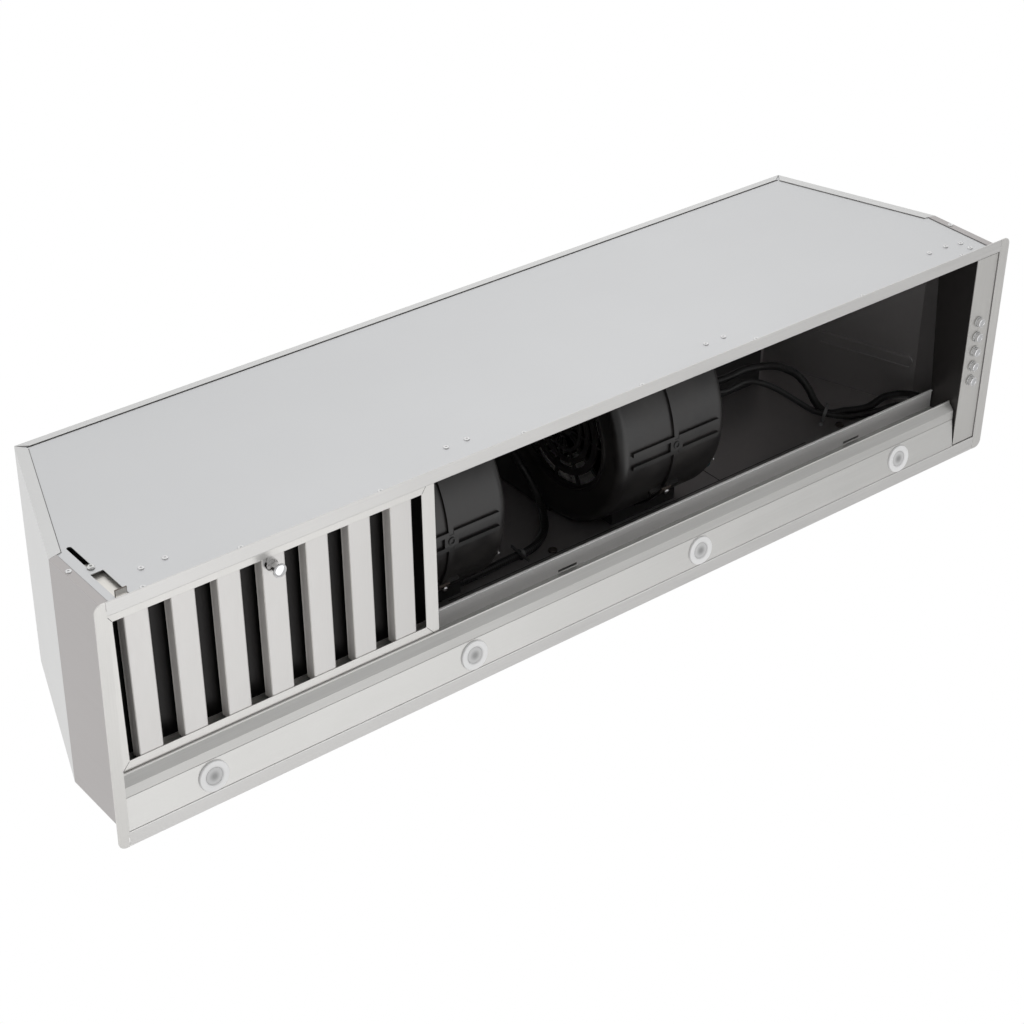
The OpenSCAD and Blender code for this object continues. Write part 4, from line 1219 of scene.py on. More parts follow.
@dataclass
class Flange(Assembly):
    """The front and rear strips of the flange: bent sheet with a folded hem."""

    sheet: float = 0.6 * MM
    edge: float = 0.1 * MM
    hem_w: float = 3.0 * MM
    hem_h: float = 1.4 * MM
    seam_gap: float = 0.45 * MM
    inner_y: float = 126.5 * MM
    leg_y: float = 130.0 * MM
    step_h: float = 7.0 * MM
    leg_z: float = 11.5 * MM
    leg_h: float = 24.0 * MM
    bend: float = 0.9 * MM
    notch_x: float = -571.8 * MM
    notch_w: float = 28.0 * MM
    notch_z: float = 13.0 * MM
    notch_r: float = 1.5 * MM
    past: float = 1.0 * MM

    def build(self) -> None:
        """Builds both strips."""
        self.strip("front_trim", "front_flange_strip", -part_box("front_trim")[0].y, -1.0)
        self.strip("rear_trim", "rear_flange_strip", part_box("rear_trim")[1].y, 1.0)

    def line(self, outer: float) -> list[Point2]:
        """The middle of the sheet from the hem's free edge to the leg's top.

        Args:
            outer: Distance of the strip's outer edge from the middle.

        Returns:
            Points of distance out and height.
        """
        half = self.sheet / 2
        roll = (self.hem_h - self.sheet) / 2
        turn = outer - half - roll
        hem = [(turn - self.hem_w, self.hem_h - half), *arc((turn, self.hem_h / 2), roll, 90, -90, 6)]
        leg = eased(
            [
                hem[-1],
                (self.inner_y + half, half),
                (self.inner_y + half, self.step_h),
                (self.leg_y + half, self.leg_z),
                (self.leg_y + half, self.leg_h),
            ],
            self.bend,
        )
        return [*hem, *leg[1:]]

    def strip(self, node: str, name: str, outer: float, side: float) -> None:
        """One strip along X.

        Args:
            node: The CAD strip that it stands for.
            name: Its name.
            outer: Distance of its outer edge from the middle.
            side: 1 at the rear, -1 at the front.
        """
        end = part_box(node)[1].x - self.seam_gap
        profile = [(side * y, z) for y, z in self.line(outer)]
        piece = bent_strip(name, (-end, end), profile, self.sheet, self.edge)
        x, half = -side * self.notch_x, self.notch_w / 2
        low_y, high_y = sorted((side * (self.inner_y - self.past), side * (self.leg_y + 3 * self.past)))
        low, high = (x - half, low_y, self.notch_z), (x + half, high_y, self.leg_h + self.past)
        cut(piece, slab("notch", low, high, self.notch_r))
        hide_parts(node)
        self.add(piece, self.finishes.flange, "bright_steel", Shade.SOFT)


@dataclass
class LightStrip(Assembly):
    """The inclined panel behind the filter channel, with its lamps, driver and harness."""

    edge: float = 0.35 * MM
    lamp_n: int = 4
    pitch: float = 320.4 * MM
    first: Point3 = (-498.4 * MM, 108.66 * MM, 3.35 * MM)
    lean: float = math.radians(8.3)
    bezel_r: float = 16.8 * MM
    bezel_h: float = 2.4 * MM
    throat_w: float = 2.4 * MM
    lens_r: float = 9.4 * MM
    can_r: float = 12.5 * MM
    can_h: float = 20.0 * MM
    can_foot: float = 3.0 * MM
    fin_t: float = 1.1 * MM
    fin_w: float = 2.0 * MM
    cap_in: float = 2.5 * MM
    cap_edge: float = 1.0 * MM
    box_edge: float = 1.2 * MM
    lid_in: float = 4.0 * MM
    lid_out: float = 0.3 * MM
    lid_t: float = 1.3 * MM
    boss_r: float = 3.4 * MM
    boss_h: float = 5.0 * MM
    boss_edge: float = 0.8 * MM
    harness_r: float = 2.0 * MM

    def build(self) -> None:
        """Builds the strip's pieces."""
        self.add(refined("light_panel", "light_panel_sheet", self.edge), self.finishes.strip, "steel")
        self.bezels()
        self.lenses()
        self.cans()
        self.driver()
        self.harness()

    def row(self, name: str, piece: Piece) -> Piece:
        """Copies a piece made for the first lamp to every lamp."""
        return repeated(name, piece, spaced((self.pitch, 0.0, 0.0), self.lamp_n))

    @property
    def down(self) -> Vector:
        """The way that a lamp faces."""
        return Vector((0.0, -math.sin(self.lean), -math.cos(self.lean)))

    def bezels(self) -> None:
        """White bezels with a rounded rim and a sloping throat."""
        r, h, throat, flare = self.bezel_r, self.bezel_h, self.lens_r, self.throat_w
        rim = h * 0.5
        profile = [
            (r, 0.0), (r, h - rim), *arc((r - rim, h - rim), rim, 0, 90, 5)[1:], (throat + flare, h),
            (throat + flare / 2, h * 0.86), (throat + flare / 6, h * 0.6), (throat + flare / 12, h * 0.2),
        ]
        piece = self.row("lamp_bezels", turned("bezel", profile, Vector(self.first), self.down, 64))
        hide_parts("led_bezels")
        self.add(piece, self.finishes.white, "white_plastic", Shade.SOFT)

    def lenses(self) -> None:
        """Frosted lenses whose middle shows the darker diode behind them."""
        r, h = self.lens_r, self.bezel_h * 0.7
        rings = [(r * k, h * (1.0 - 0.3 * k * k)) for k in (0.92, 0.8, 0.66, 0.52, 0.38, 0.24, 0.1)]
        lens = turned("lens", [(r, 0.0), (r, h * 0.6), *rings], Vector(self.first), self.down, 48)
        layer = lens.data.attributes.new("core", "FLOAT", "POINT")
        axis, foot = self.down, Vector(self.first)
        for vert, value in zip(lens.data.vertices, layer.data):
            away = vert.co - foot
            value.value = 1.0 - min(1.0, (away - away.dot(axis) * axis).length / r)
        piece = self.row("lamp_lenses", lens)
        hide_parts("led_lenses")
        self.add(piece, self.finishes.lens, "lens", Shade.ROUND)

    def cans(self) -> None:
        """Finned heat sinks behind the panel."""
        r, h, fin = self.can_r, self.can_h, self.fin_t
        core, cap = r - self.fin_w, r - self.cap_in
        z = self.can_foot
        profile = [(r, 0.0), (r, z)]
        while z + 2 * fin < h - self.can_foot:
            profile += [(core, z), (core, z + fin), (r, z + fin), (r, z + 2 * fin)]
            z += 2 * fin
        profile += [(cap, z), (cap, h - self.cap_edge), (cap - self.cap_edge, h)]
        piece = self.row("lamp_heat_sinks", turned("sink", profile, Vector(self.first), -self.down, 32))
        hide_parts("led_cans")
        self.add(piece, self.finishes.cast, "lamp_metal")

    def driver(self) -> None:
        """The lamps' driver: a box with a lid line and a cable boss at each end."""
        body = refined("led_driver", "lamp_driver", self.box_edge)
        low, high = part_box("led_driver")
        middle, inset, front = (low + high) / 2, self.lid_in, low.y - self.lid_out
        corner = (high.x - inset, front + self.lid_t, high.z - inset / 2)
        lid = slab("lid", (low.x + inset, front, middle.z), corner, self.lid_out)
        r, h = self.boss_r, self.boss_h
        boss = turned("boss", [(r, 0.0), (r, h * 0.6), (r - self.boss_edge, h)], Vector(), UP, 20)
        ends = [
            upright(Vector((x, middle.y, middle.z)), Vector((side, 0.0, 0.0)))
            for x, side in ((low.x, -1.0), (high.x, 1.0))
        ]
        parts = [body, lid, repeated("bosses", boss, ends)]
        self.add(joined("lamp_driver", parts), self.finishes.housing, "dark_plastic")

    def harness(self) -> None:
        """The wire that runs from lamp to lamp."""
        low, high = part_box("light_harness")
        middle = (low + high) / 2
        wire = tube("lamp_wire", line_along_x(low.x, high.x, middle.y, middle.z, 24), self.harness_r)
        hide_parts("light_harness")
        self.add(wire, self.finishes.sleeve, "cable_sheath", Shade.ROUND)


@dataclass
class FilterChannel(Assembly):
    """The lip that carries the filters' rear edge, and the shelf over it."""

    edge: float = 0.3 * MM
    hem_r: float = 0.9 * MM
    hem_drop_share: float = 0.4

    def build(self) -> None:
        """Builds the lip and the shelf."""
        self.add(refined("filter_lip", "channel_lip", self.edge), self.finishes.lip, "steel", Shade.SOFT)
        # Painted light on the shelf's face
        self.add(refined("rear_shelf", "channel_shelf", self.edge), self.finishes.shelf, "steel", Shade.SOFT)
        self.hem()

    def hem(self) -> None:
        """The rolled hem along the shelf's front edge, painted near-white as a highlight."""
        low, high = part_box("rear_shelf")
        r = self.hem_r
        line = line_along_x(low.x, high.x, low.y + r, low.z - r * self.hem_drop_share, 8)
        self.add(tube("shelf_hem", line, r), self.finishes.hem, "bright_steel", Shade.ROUND)


@dataclass
class ControlStrip(Assembly):
    """The strip at the right end with its buttons, and the box over the switches."""

    plate_edge: float = 0.4 * MM
    box_edge: float = 0.5 * MM
    button_n: int = 5
    pitch: float = 19.9 * MM
    first: Point3 = (575.5 * MM, -40.795 * MM, 0.0)
    button_r: float = 5.4 * MM
    rim: float = 0.9 * MM
    dish: float = 0.5 * MM
    top: float = 8.5 * MM
    collar_z: float = 2.8 * MM
    collar_t: float = 1.5 * MM
    collar_w: float = 1.3 * MM
    out: float = 5.5 * MM
    face: float = 1.5 * MM
    ring_gap: float = 0.15 * MM
    ring_w: float = 1.3 * MM
    ring_h: float = 2.0 * MM
    ring_edge: float = 0.25 * MM
    board_t: float = 1.7 * MM
    board_edge: float = 0.25 * MM

    def build(self) -> None:
        """Builds the strip's pieces."""
        self.add(refined("control_panel", "control_plate", self.plate_edge), self.finishes.control, "steel")
        box = refined("control_box", "switch_box_shade", self.box_edge)
        # Painted shade: the box is painted near-black for its shade
        self.add(box, self.finishes.switch_box_shade, "dark_plastic")
        self.rings()
        self.buttons()
        self.board()

    @property
    def row(self) -> list[Matrix]:
        """The shift from the first button to each button."""
        return spaced((0.0, self.pitch, 0.0), self.button_n)

    def rings(self) -> None:
        """Bright rings round the buttons."""
        ring = band("ring", self.button_r + self.ring_gap, self.ring_h, self.ring_w, 40)
        rounded(ring, self.ring_edge)
        moved(ring, Matrix.Translation(Vector(self.first) + UP * (self.face - self.ring_h / 2)))
        piece = repeated("button_bezels", ring, self.row)
        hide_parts("button_rings")
        self.add(piece, self.finishes.plated, "chrome", Shade.SOFT)

    def buttons(self) -> None:
        """Polished buttons with a rounded rim and a shallow dish."""
        r, wide, rim, length = self.button_r, self.button_r + self.collar_w, self.rim, self.top + self.out
        collar = self.top - self.collar_z - self.collar_t
        above = collar + self.collar_t
        dish = ((0.7, 0.3), (0.5, 0.7), (0.25, 0.9), (0.06, 1.0))
        profile = [
            (r / 2, 0.0), (r / 2, collar), (wide, collar), (wide, above), (r, above), (r, length - rim),
            *arc((r - rim, length - rim), rim, 0, 90, 6)[1:],
            *((r * out, length - self.dish * sunk) for out, sunk in dish),
        ]
        model = turned("button_cap_1", profile, Vector(self.first) + UP * self.top, -UP, 48)
        caps = [model, *(copied(model, shift) for shift in self.row[1:])]
        for number, cap in enumerate(caps, 1):
            cap.name = f"button_cap_{number}"
            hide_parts(f"button_{number}")
            self.add(cap, self.finishes.chrome, "chrome", Shade.SOFT, f"button_{number}")

    def board(self) -> None:
        """The board with its switches and standoffs."""
        piece = refined("switch_board", "switch_circuit", self.board_edge)
        board_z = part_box("switch_board")[1].z - self.board_t
        self.add(piece, self.finishes.board, "board")
        repainted_faces(piece, self.finishes.housing, lambda c, n: c.z < board_z)


@dataclass
class BaffleFilter(Assembly):
    """The tilting filter: a folded frame, two layers of slats, a knob and two springs."""

    body: str = "filter"
    place: Point3 = (-404.7 * MM, 68.9 * MM, 16.3 * MM)
    tilt: float = math.radians(-2.43)
    length: float = 382.0 * MM
    front_y: float = -192.4 * MM
    rear_y: float = 7.2 * MM
    depth: float = 20.0 * MM
    edge: float = 0.4 * MM
    side_rail: float = 16.0 * MM
    front_rail: float = 23.0 * MM
    rear_rail: float = 18.2 * MM
    rail_in: float = 1.2 * MM
    mitre_w: float = 0.5 * MM
    mitre_out: float = 0.06 * MM
    mitre_sunk: float = 0.3 * MM
    mitre_end: float = 0.6 * MM
    mitre_edge: float = 0.05 * MM
    pitch: float = 50.0 * MM
    slat_n: int = 7
    slat_w: float = 26.2 * MM
    slat_lip: float = 13.0 * MM
    slat_in: float = 1.0 * MM
    slat_edge: float = 0.2 * MM
    flare: float = 0.5 * MM
    back_w: float = 37.0 * MM
    back_lip: float = 12.0 * MM
    tuck: float = 6.0 * MM
    sheet: float = 0.8 * MM
    bend: float = 0.9 * MM
    knob_foot: Point3 = (-4.5 * MM, -162.9 * MM, 1.0 * MM)
    knob_h: float = 20.0 * MM
    knob_r: float = 7.4 * MM
    base_r: float = 6.8 * MM
    neck_r: float = 4.6 * MM
    head_h: float = 3.8 * MM
    head_ease: float = 1.0 * MM
    stud_r: float = 2.0 * MM
    nut_r: float = 4.0 * MM
    nut_end: float = 3.8 * MM
    spring_x: float = 129.9 * MM
    spring_l: float = 30.0 * MM
    spring_out: float = 1.3 * MM
    spring_sunk: float = 0.2 * MM
    spring_t: float = 0.5 * MM
    spring_bend: float = 4.0 * MM
    spring_edge: float = 0.15 * MM
    spring_z: Point2 = (4.0 * MM, 14.0 * MM)

    @property
    def setting(self) -> Matrix:
        """Carries the filter's own frame into the liner's."""
        return Matrix.Translation(self.place) @ Matrix.Rotation(self.tilt, 4, "X")

    @property
    def slat_span(self) -> Point2:
        """Where the slats start and end, tucked into the front and rear rails."""
        return self.front_y + self.front_rail - self.tuck, self.rear_y - self.rear_rail + self.tuck

    def build(self) -> None:
        """Builds the filter's pieces."""
        rails = refined("filter_frame", "filter_rails", self.edge)
        self.add(rails, self.finishes.filter_frame, "bright_steel", Shade.SOFT)
        self.mitres()
        self.front_slats()
        self.rear_slats()
        self.knob()
        self.springs()

    def mitres(self) -> None:
        """Painted shadow in the joints where the rails meet at the corners."""
        half, inset, short, line = self.length / 2, self.rail_in, self.mitre_end, self.mitre_w
        bars = []
        for y, rail, way in ((self.front_y, self.front_rail, 1.0), (self.rear_y, self.rear_rail, -1.0)):
            start = Vector((inset - half, y + way * inset, 0.0))
            run = Vector((self.side_rail - short - half, y + way * (rail - short), 0.0)) - start
            low, high = (0.0, -line / 2, -self.mitre_out), (run.length, line / 2, self.mitre_sunk)
            turn = Matrix.Rotation(math.atan2(run.y, run.x), 4, "Z")
            bar = moved(slab("mitre", low, high, self.mitre_edge), Matrix.Translation(start) @ turn)
            bars += [bar, copied(bar, MIRROR_X)]
        piece = moved(joined("rail_mitres", bars), self.setting)
        self.add(piece, self.finishes.gap, "dark_plastic")

    def channel(self, name: str, width: float, lip: float, face: float, way: float) -> Piece:
        """One slat: sheet bent along two edges, in the filter's own frame.

        Args:
            name: Its name.
            width: Its width.
            lip: Depth of its lips.
            face: Height of the middle of its face.
            way: 1 for lips up, -1 for lips down.

        Returns:
            The slat.
        """
        half, top, flare = (width - self.sheet) / 2, face + way * (lip - self.sheet / 2), self.flare
        corners = [
            (-half - flare, top), (-half, top - way * 3 * flare), (-half, face), (half, face),
            (half, top - way * 3 * flare), (half + flare, top),
        ]
        slat = bent_strip(name, self.slat_span, eased(corners, self.bend), self.sheet, self.slat_edge)
        return moved(slat, QUARTER)

    def row(self, name: str, slat: Piece, count: int) -> Piece:
        """Copies a slat along the filter and sets the row in its place."""
        shifts = [(i - (count - 1) / 2) * self.pitch for i in range(count)]
        return repeated(name, slat, [self.setting @ Matrix.Translation((x, 0.0, 0.0)) for x in shifts])

    def front_slats(self) -> None:
        """The slats that show from below."""
        slat = self.channel("slat", self.slat_w, self.slat_lip, self.sheet / 2 + self.slat_in, 1.0)
        piece = self.row("front_slats", slat, self.slat_n)
        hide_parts("front_baffles")
        self.add(piece, self.finishes.slat, "bright_steel", Shade.SOFT)
        # Painted light: the lips are painted brighter than the slats' faces
        repainted_faces(piece, self.finishes.slat_lip, lambda c, n: abs(n.x) > 0.7)

    def rear_slats(self) -> None:
        """The slats behind them, which close the gaps, with a half slat at each end."""
        face = self.depth - self.slat_in - self.sheet / 2
        slat = self.channel("back_slat_shade", self.back_w, self.back_lip, face, -1.0)
        row = self.row("rear_slats", slat, self.slat_n - 1)
        inner, outer = self.slat_n / 2 * self.pitch - self.back_w / 2, self.length / 2 - self.rail_in
        corners = [(inner, face - self.back_lip + self.sheet), (inner, face), (outer, face)]
        half = bent_strip("end_slat", self.slat_span, eased(corners, self.bend), self.sheet, self.slat_edge)
        ends = repeated("end_slats", half, [self.setting @ QUARTER, self.setting @ MIRROR_X @ QUARTER])
        piece = joined("rear_slats", [row, ends])
        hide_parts("rear_baffles")
        # Painted shade: the rear slats' near-black finish stands for the shade they lie in
        self.add(piece, self.finishes.back_slat_shade, "bright_steel", Shade.SOFT)

    def knob(self) -> None:
        """The turned knob, its stud and its nut."""
        r, h, neck, head, ease = self.knob_r, self.knob_h, self.neck_r, self.head_h, self.head_ease
        nut, stud, base, sheet, under = self.nut_r, self.stud_r, self.base_r, self.sheet, h - head
        waist = ((base, 0.24), (6.2 * MM, 0.31), (5.2 * MM, 0.4), (neck, 0.5))
        crown = ((1.0, 0.55), (0.97, 0.4), (0.88, 0.24), (0.74, 0.13), (0.55, 0.05), (0.3, 0.01), (0.08, 0.0))
        profile = [
            (nut, -self.nut_end), (nut, -sheet), (stud, -sheet), (stud, 0.0), (base, 0.0),
            *((out, h * up) for out, up in waist), (neck, under - ease), (neck + 0.5 * ease, under),
            (r - 0.6 * ease, under + 0.3 * ease), (r, under + ease),
            *((r * out, h - head * below) for out, below in crown),
        ]
        foot = self.setting @ Vector(self.knob_foot)
        piece = turned("filter_handle", profile, foot, self.setting.to_3x3() @ -UP, 48)
        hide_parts("filter_knob")
        self.add(piece, self.finishes.chrome, "chrome", Shade.SOFT)

    def springs(self) -> None:
        """Leaf springs that press the front rail's edge."""
        out, sunk, half = self.spring_out, self.spring_sunk, self.spring_l / 2
        corners = eased([(-half, sunk), (-half / 2, -out), (half / 2, -out), (half, sunk)], self.spring_bend)
        leaf = bent_strip("leaf", self.spring_z, corners, self.spring_t, self.spring_edge)
        places = [
            self.setting @ Matrix.Translation((side * self.spring_x, self.front_y, 0.0)) @ ON_END
            for side in (-1.0, 1.0)
        ]
        piece = repeated("leaf_springs", leaf, places)
        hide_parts("filter_springs")
        self.add(piece, self.finishes.plated, "spring_steel", Shade.SOFT)


@dataclass
class CabinetClamps(Assembly):
    """The two clamps that pull the liner up against the cabinet."""

    edge: float = 0.4 * MM
    bolt_edge: float = 0.25 * MM

    def build(self) -> None:
        """Builds both clamps with their screws."""
        wall = abs(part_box("front_panel")[0].y)
        for side in ("front", "rear"):
            node = f"{side}_clamp"
            plate = refined(node, f"{side}_clamp_plate", self.edge)
            self.add(plate, self.finishes.bracket, "zinc_steel", Shade.SOFT, node)
            # Painted shade: the jaws that stand out of the wall are painted dark for the shadow they lie in
            repainted_faces(plate, self.finishes.clip_dark_jaw_shade, lambda c, n: abs(c.y) > wall)
            bolt = refined(f"{node}_screw", f"{side}_clamp_bolt", self.bolt_edge)
            self.add(bolt, self.finishes.plated, "spring_steel", Shade.SOFT, node)


@dataclass
class Blowers(Assembly):
    """Both blowers: scroll halves, grilles, wheels, motors, feet, clips and their small fixings."""

    middle_x: float = 158.3 * MM
    centre: Point2 = (11.4 * MM, 191.5 * MM)
    radius: float = 120.8 * MM
    edge: float = 0.7 * MM
    grille_edge: float = 0.5 * MM
    motor_edge: float = 0.8 * MM
    foot_edge: float = 0.5 * MM
    clip_edge: float = 0.4 * MM
    pad_angle: float = -91.8
    pad_h: float = 3.2 * MM
    boss_r: float = 4.6 * MM
    boss_h: float = 1.4 * MM
    boss_sunk: float = 2.0 * MM
    boss_ease: float = 0.6 * MM
    boss_wall: float = 1.5 * MM
    hole_r: float = 2.6 * MM
    hole_ease: float = 0.4 * MM
    clip_angle: float = -60.0
    clip_top: float = 7.2 * MM
    screw_r: float = 3.4 * MM
    screw_h: float = 2.6 * MM
    nub_x: float = 78.0 * MM
    nub_angle: float = -62.7
    nub_foot: float = 113.5 * MM
    nub_r: float = 1.7 * MM
    nub_h: float = 5.5 * MM
    nub_ease: float = 0.3 * MM
    mark_r: float = 0.7 * MM
    mark: tuple[Point3, ...] = (
        (77.0 * MM, -60.0, 116.0 * MM), (76.6 * MM, -58.4, 118.0 * MM), (75.6 * MM, -56.6, 118.4 * MM),
        (74.4 * MM, -55.0, 117.6 * MM),
    )

    def build(self) -> None:
        """Builds both blowers."""
        black = self.finishes.blower
        for side in ("left", "right"):
            for half in ("left", "right"):
                shell = refined(f"{side}_blower_{half}_half", f"{side}_scroll_{half}_half", self.edge)
                self.add(shell, black, "blower_plastic", Shade.SOFT)
            grille = refined(f"{side}_blower_grilles", f"{side}_inlet_grilles", self.grille_edge)
            self.add(grille, black, "blower_plastic")
            # Painted light on the wheels behind the grilles
            self.dress(f"{side}_wheel", self.finishes.cage_lit)
            motor = refined(f"{side}_motor", f"{side}_motor_body", self.motor_edge)
            self.add(motor, self.finishes.cast, "lamp_metal", Shade.SOFT)
        feet = refined("blower_feet", "scroll_feet", self.foot_edge)
        self.add(feet, self.finishes.housing, "blower_plastic")
        clips = refined("blower_clips", "scroll_clips", self.clip_edge)
        # The clips share the dark steel of the clamps' painted jaw shade
        self.add(clips, self.finishes.clip_dark_jaw_shade, "spring_steel", Shade.SOFT)
        self.bosses()
        self.screws()
        self.wire_end()

    def spot(self, x: float, angle: float, radius: float) -> tuple[Vector, Vector]:
        """A place round the scroll's axis, and the direction that faces out there.

        Args:
            x: Its distance along the axis from the middle of the liner.
            angle: Its angle in degrees from +Y towards +Z.
            radius: Its distance from the axis.

        Returns:
            The place and the direction.
        """
        turn = math.radians(angle)
        out = Vector((0.0, math.cos(turn), math.sin(turn)))
        return Vector((x, *self.centre)) + out * radius, out

    def both(self, name: str, piece: Piece) -> Piece:
        """Copies a piece made for the left blower to the right one."""
        return repeated(name, piece, spaced((2 * self.middle_x, 0.0, 0.0), 2))

    def bosses(self) -> None:
        """A boss with a hole on the plate that ties the ribs together, with painted shade in the hole."""
        r, top, floor = self.boss_r, self.boss_sunk + self.boss_h, self.radius + self.pad_h
        ease, wall, chamfer = self.boss_ease, self.boss_wall, self.hole_ease
        profile = [
            (r, 0.0), (r, top - ease), (r - ease, top), (r - wall, top),
            (r - wall - chamfer, top - chamfer), (self.hole_r, chamfer),
        ]
        foot, out = self.spot(-self.middle_x, self.pad_angle, floor - self.boss_sunk)
        piece = self.both("scroll_bosses", turned("boss", profile, foot, out, 32))
        self.add(piece, self.finishes.housing, "blower_plastic")
        axis = Vector(self.centre)
        # Painted shade: the faces at the bottom of the hole take the seam shadow
        repainted_faces(
            piece, self.finishes.gap, lambda c, n: (c.yz - axis).length < floor and n.dot(out) > 0.9
        )

    def screws(self) -> None:
        """Bright domed screws on the clips, and the small ones at each scroll's right edge."""
        r, h, wall = self.screw_r, self.screw_h, self.screw_h * 0.35
        dome = [(r, 0.0), (r, wall), *arc((r - h + wall, wall), h - wall, 0, 90, 4)[1:], (r * 0.15, h)]
        foot, out = self.spot(-self.middle_x, self.clip_angle, self.radius + self.clip_top)
        head = turned("dome", dome, foot, out, 28)
        r, h = self.nub_r, self.nub_h
        post = [(r, 0.0), (r, h * 0.8), (r * 0.8, h - self.nub_ease), (r * 0.3, h)]
        foot, out = self.spot(self.nub_x - self.middle_x, self.nub_angle, self.nub_foot)
        nub = turned("post", post, foot, out, 20)
        pair = self.both("scroll_screws", joined("screws", [head, nub]))
        self.add(pair, self.finishes.chrome, "spring_steel", Shade.SOFT)

    def wire_end(self) -> None:
        """The end of a thin teal wire at the right blower's edge."""
        places = [self.spot(self.middle_x + x, angle, radius)[0] for x, angle, radius in self.mark]
        wire = tube("teal_wire_end", smooth_path(places, 6), self.mark_r, 3)
        self.add(wire, self.finishes.teal, "cable_sheath", Shade.ROUND)


@dataclass
class DuctCollars(Assembly):
    """The two duct collars with a damper of two leaves in each."""

    edge: float = 0.3 * MM
    leaf_edge: float = 0.2 * MM

    def build(self) -> None:
        """Builds the collars and their leaves."""
        for side in ("left", "right"):
            collar = refined(f"{side}_duct_collar", f"{side}_collar", self.edge)
            self.add(collar, self.finishes.zinc, "zinc_steel", Shade.SOFT)
            for half in ("front", "rear"):
                node = f"{side}_damper_{half}"
                leaf = refined(node, f"{side}_leaf_{half}", self.leaf_edge)
                self.add(leaf, self.finishes.plated, "spring_steel", Shade.SOFT, node)


@dataclass
class Wiring(Assembly):
    """The wiring box, the cables on their routes, and what holds them."""

    box_edge: float = 1.0 * MM
    sleeve_r: float = 5.0 * MM
    cable_r: float = 3.8 * MM
    rib_pitch: float = 2.8 * MM
    rib_h: float = 0.35 * MM
    route_steps: int = 12
    tie_t: float = 1.2 * MM
    tie_edge: float = 0.25 * MM
    strap_top: Point3 = (-11.2 * MM, 118.8 * MM, 150.0 * MM)
    strap_foot: Point3 = (-13.9 * MM, 118.8 * MM, 114.3 * MM)
    strap_w: float = 4.6 * MM
    strap_edge: float = 0.4 * MM
    pair_place: Point3 = (481.44 * MM, 118.06 * MM, 142.72 * MM)
    pair_axis: Point3 = (0.576, 0.203, -0.792)
    pair_r: float = 11.3 * MM
    head: Point3 = (5.4 * MM, 4.4 * MM, 5.0 * MM)
    head_edge: float = 0.6 * MM
    head_turn: float = math.radians(165.0)
    pad_edge: float = 0.6 * MM

    def build(self) -> None:
        """Builds the wiring's pieces."""
        box = refined("wiring_box", "junction_box", self.box_edge)
        self.add(box, self.finishes.housing, "dark_plastic")
        for node, route, radius in (
            ("right_conduit", RIGHT_ROUTE, self.sleeve_r),
            ("middle_conduit", MIDDLE_ROUTE, self.cable_r),
            ("left_conduit", LEFT_ROUTE, self.sleeve_r),
        ):
            self.sleeve(node, route, radius)
        self.ties()
        pads = refined("cable_clips", "cable_clip_pads", self.pad_edge)
        self.add(pads, self.finishes.rubber, "clip_rubber", Shade.SOFT)

    def sleeve(self, node: str, route: Sequence[Point3], radius: float) -> None:
        """One corrugated sleeve along its route.

        Args:
            node: The CAD cable that it stands for.
            route: The route's points in millimetres.
            radius: Its outer radius.
        """
        line = smooth_path([tuple(c * MM for c in place) for place in route], self.route_steps)
        places, radii = ribs_along(line, radius, self.rib_pitch, self.rib_h)
        piece = tube(f"{node}_sleeve", places, radius, 4, radii)
        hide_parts(node)
        self.add(piece, self.finishes.sleeve, "cable_sheath", Shade.SOFT)

    def ties(self) -> None:
        """The cable ties, with the left one's strap and the right one's head."""
        rings = refined("cable_ties", "cable_tie_rings", self.tie_edge)
        top, foot = Vector(self.strap_top), Vector(self.strap_foot)
        run = foot - top
        x, y, z = self.strap_w / 2, self.tie_t / 2, run.length / 2
        turn = run.to_track_quat("Z", "Y").to_matrix().to_4x4()
        strap = slab("strap", (-x, -y, -z), (x, y, z), self.strap_edge)
        moved(strap, Matrix.Translation((top + foot) / 2) @ turn)
        axis = Vector(self.pair_axis).normalized()
        out = axis.cross(UP).normalized()
        out.rotate(Quaternion(axis, self.head_turn))
        x, y, z = (size / 2 for size in self.head)
        turn = Matrix((axis.cross(out), out, axis)).transposed().to_4x4()
        place = Vector(self.pair_place) + out * (self.pair_r + self.tie_t + y)
        head = moved(slab("head", (-x, -y, -z), (x, y, z), self.head_edge), Matrix.Translation(place) @ turn)
        piece = joined("cable_tie_rings", [rings, strap, head])
        # Painted shade on the ties
        self.add(piece, self.finishes.nylon_shade, "white_plastic", Shade.SOFT)


# Studio


@dataclass(frozen=True)
class SoftLamp:
    """A square soft lamp aimed at the liner: its place, its side and its power in watts."""

    name: str
    place: Point3
    size: float
    power: float
    aim: Point3 = (0.0, 0.0, 0.1)

    def build(self) -> None:
        """Hangs the lamp."""
        data = bpy.data.lights.new(self.name, "AREA")
        data.size = self.size
        data.energy = self.power
        lamp = bpy.data.objects.new(self.name, data)
        lamp.location = self.place
        lamp.rotation_mode = "QUATERNION"
        lamp.rotation_quaternion = (Vector(self.aim) - Vector(self.place)).to_track_quat("-Z", "Y")
        bpy.context.scene.collection.objects.link(lamp)


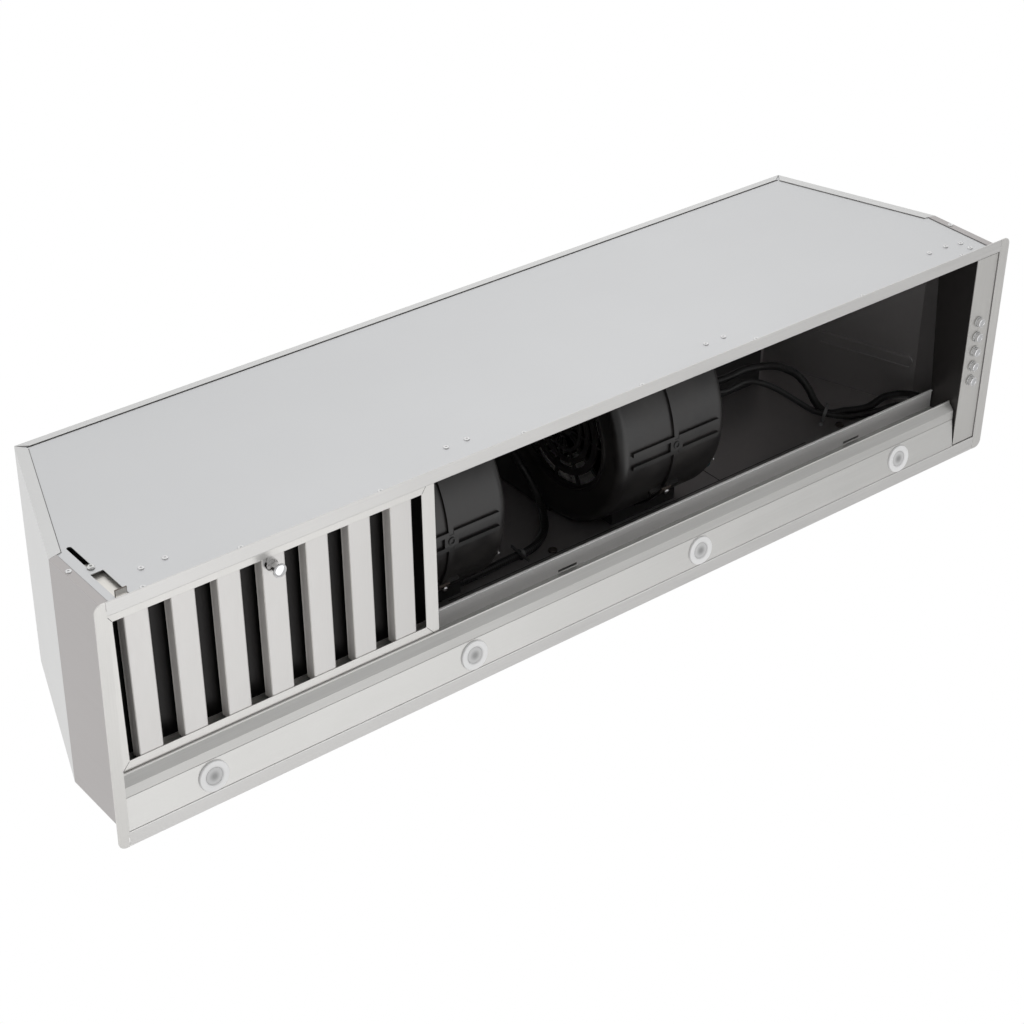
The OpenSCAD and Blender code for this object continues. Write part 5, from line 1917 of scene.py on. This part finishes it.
@dataclass
class Studio:
    """The camera, the lamps, the world and the floor."""

    focal: float = 79.8
    sensor: float = 36.0
    far: float = 100.0
    place: Point3 = (-1.351, -1.321, -1.497)
    ahead: Point3 = (0.5276, 0.5488, 0.6484)
    above: Point3 = (0.3335, -0.8359, 0.4360)
    lamps: tuple[SoftLamp, ...] = (
        SoftLamp("front_lamp", (1.6, -3.6, 1.6), 4.0, 23.0),
        SoftLamp("low_lamp", (0.6, 0.4, -3.3), 4.0, 50.0),
        SoftLamp("left_lamp", (-3.2, 0.6, 0.6), 2.4, 11.5),
    )
    soft_strength: float = 0.55
    floor_z: float = -3.6
    floor_size: float = 30.0
    floor_scale: float = 0.8
    floor_tones: Point2 = (0.84, 0.87)
    floor_roughness: float = 0.9

    def build(self) -> None:
        """Sets the scene up."""
        self.camera()
        self.world()
        self.floor()
        for lamp in self.lamps:
            lamp.build()
        bpy.context.scene.view_settings.view_transform = "Standard"

    def camera(self) -> None:
        """The camera, where the photograph was taken from."""
        data = bpy.data.cameras.new("camera")
        data.lens = self.focal
        data.sensor_width = self.sensor
        data.clip_end = self.far
        camera = bpy.data.objects.new("camera", data)
        back, up = -Vector(self.ahead).normalized(), Vector(self.above)
        side = up.cross(back).normalized()
        turn = Matrix((side, back.cross(side), back)).transposed().to_4x4()
        camera.matrix_world = Matrix.Translation(self.place) @ turn
        bpy.context.scene.collection.objects.link(camera)
        bpy.context.scene.camera = camera

    def seen_directly(self, nodes: bpy.types.Nodes, links: bpy.types.NodeLinks) -> Socket:
        """A factor that is 1 for what the camera sees, straight or in gloss and glass.

        Args:
            nodes: Nodes of the tree.
            links: Links of the tree.

        Returns:
            The factor's socket.
        """
        path = nodes.new("ShaderNodeLightPath")
        total = path.outputs["Is Camera Ray"]
        for name in ("Is Glossy Ray", "Is Transmission Ray"):
            larger = nodes.new("ShaderNodeMath")
            larger.operation = "MAXIMUM"
            links.new(total, larger.inputs[0])
            links.new(path.outputs[name], larger.inputs[1])
            total = larger.outputs["Value"]
        return total

    def world(self) -> None:
        """A white backdrop to look at, and a softer light from all round."""
        world = bpy.data.worlds.new("studio")
        world.use_nodes = True
        bpy.context.scene.world = world
        nodes, links = world.node_tree.nodes, world.node_tree.links
        mix = nodes.new("ShaderNodeMixShader")
        links.new(self.seen_directly(nodes, links), mix.inputs["Fac"])
        soft, white = nodes["Background"], nodes.new("ShaderNodeBackground")
        for number, (light, strength) in enumerate(((soft, self.soft_strength), (white, 1.0)), 1):
            light.inputs["Color"].default_value = (1.0, 1.0, 1.0, 1.0)
            light.inputs["Strength"].default_value = strength
            links.new(light.outputs["Background"], mix.inputs[number])
        links.new(mix.outputs["Shader"], nodes["World Output"].inputs["Surface"])

    def floor(self) -> None:
        """A plain pale floor below the liner."""
        clear_selection()
        bpy.ops.mesh.primitive_plane_add(size=self.floor_size, location=(0.0, 0.0, self.floor_z))
        floor = bpy.context.object
        floor.name = "floor"
        settle(floor)
        recipe = Recipe("pale_floor")
        recipe.set(Roughness=self.floor_roughness)
        cloud = recipe.noise((self.floor_scale,) * 3)
        dark, light = ((tone,) * 3 for tone in self.floor_tones)
        recipe.feed("Base Color", recipe.blend(cloud, dark, light))
        painted(floor, recipe.material)


def main() -> None:
    """Builds the scene."""
    logging.basicConfig(level=logging.INFO, format="%(name)s: %(message)s")
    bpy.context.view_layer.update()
    finishes = Finishes()
    Studio().build()
    for kind in (
        Shell, Flange, LightStrip, FilterChannel, ControlStrip, BaffleFilter, CabinetClamps, Blowers,
        DuctCollars, Wiring,
    ):
        assembly = kind(finishes)
        assembly.build()
        LOG.info("%s: %d pieces", kind.__name__, len(assembly.made))


if __name__ == "__main__":
    main()
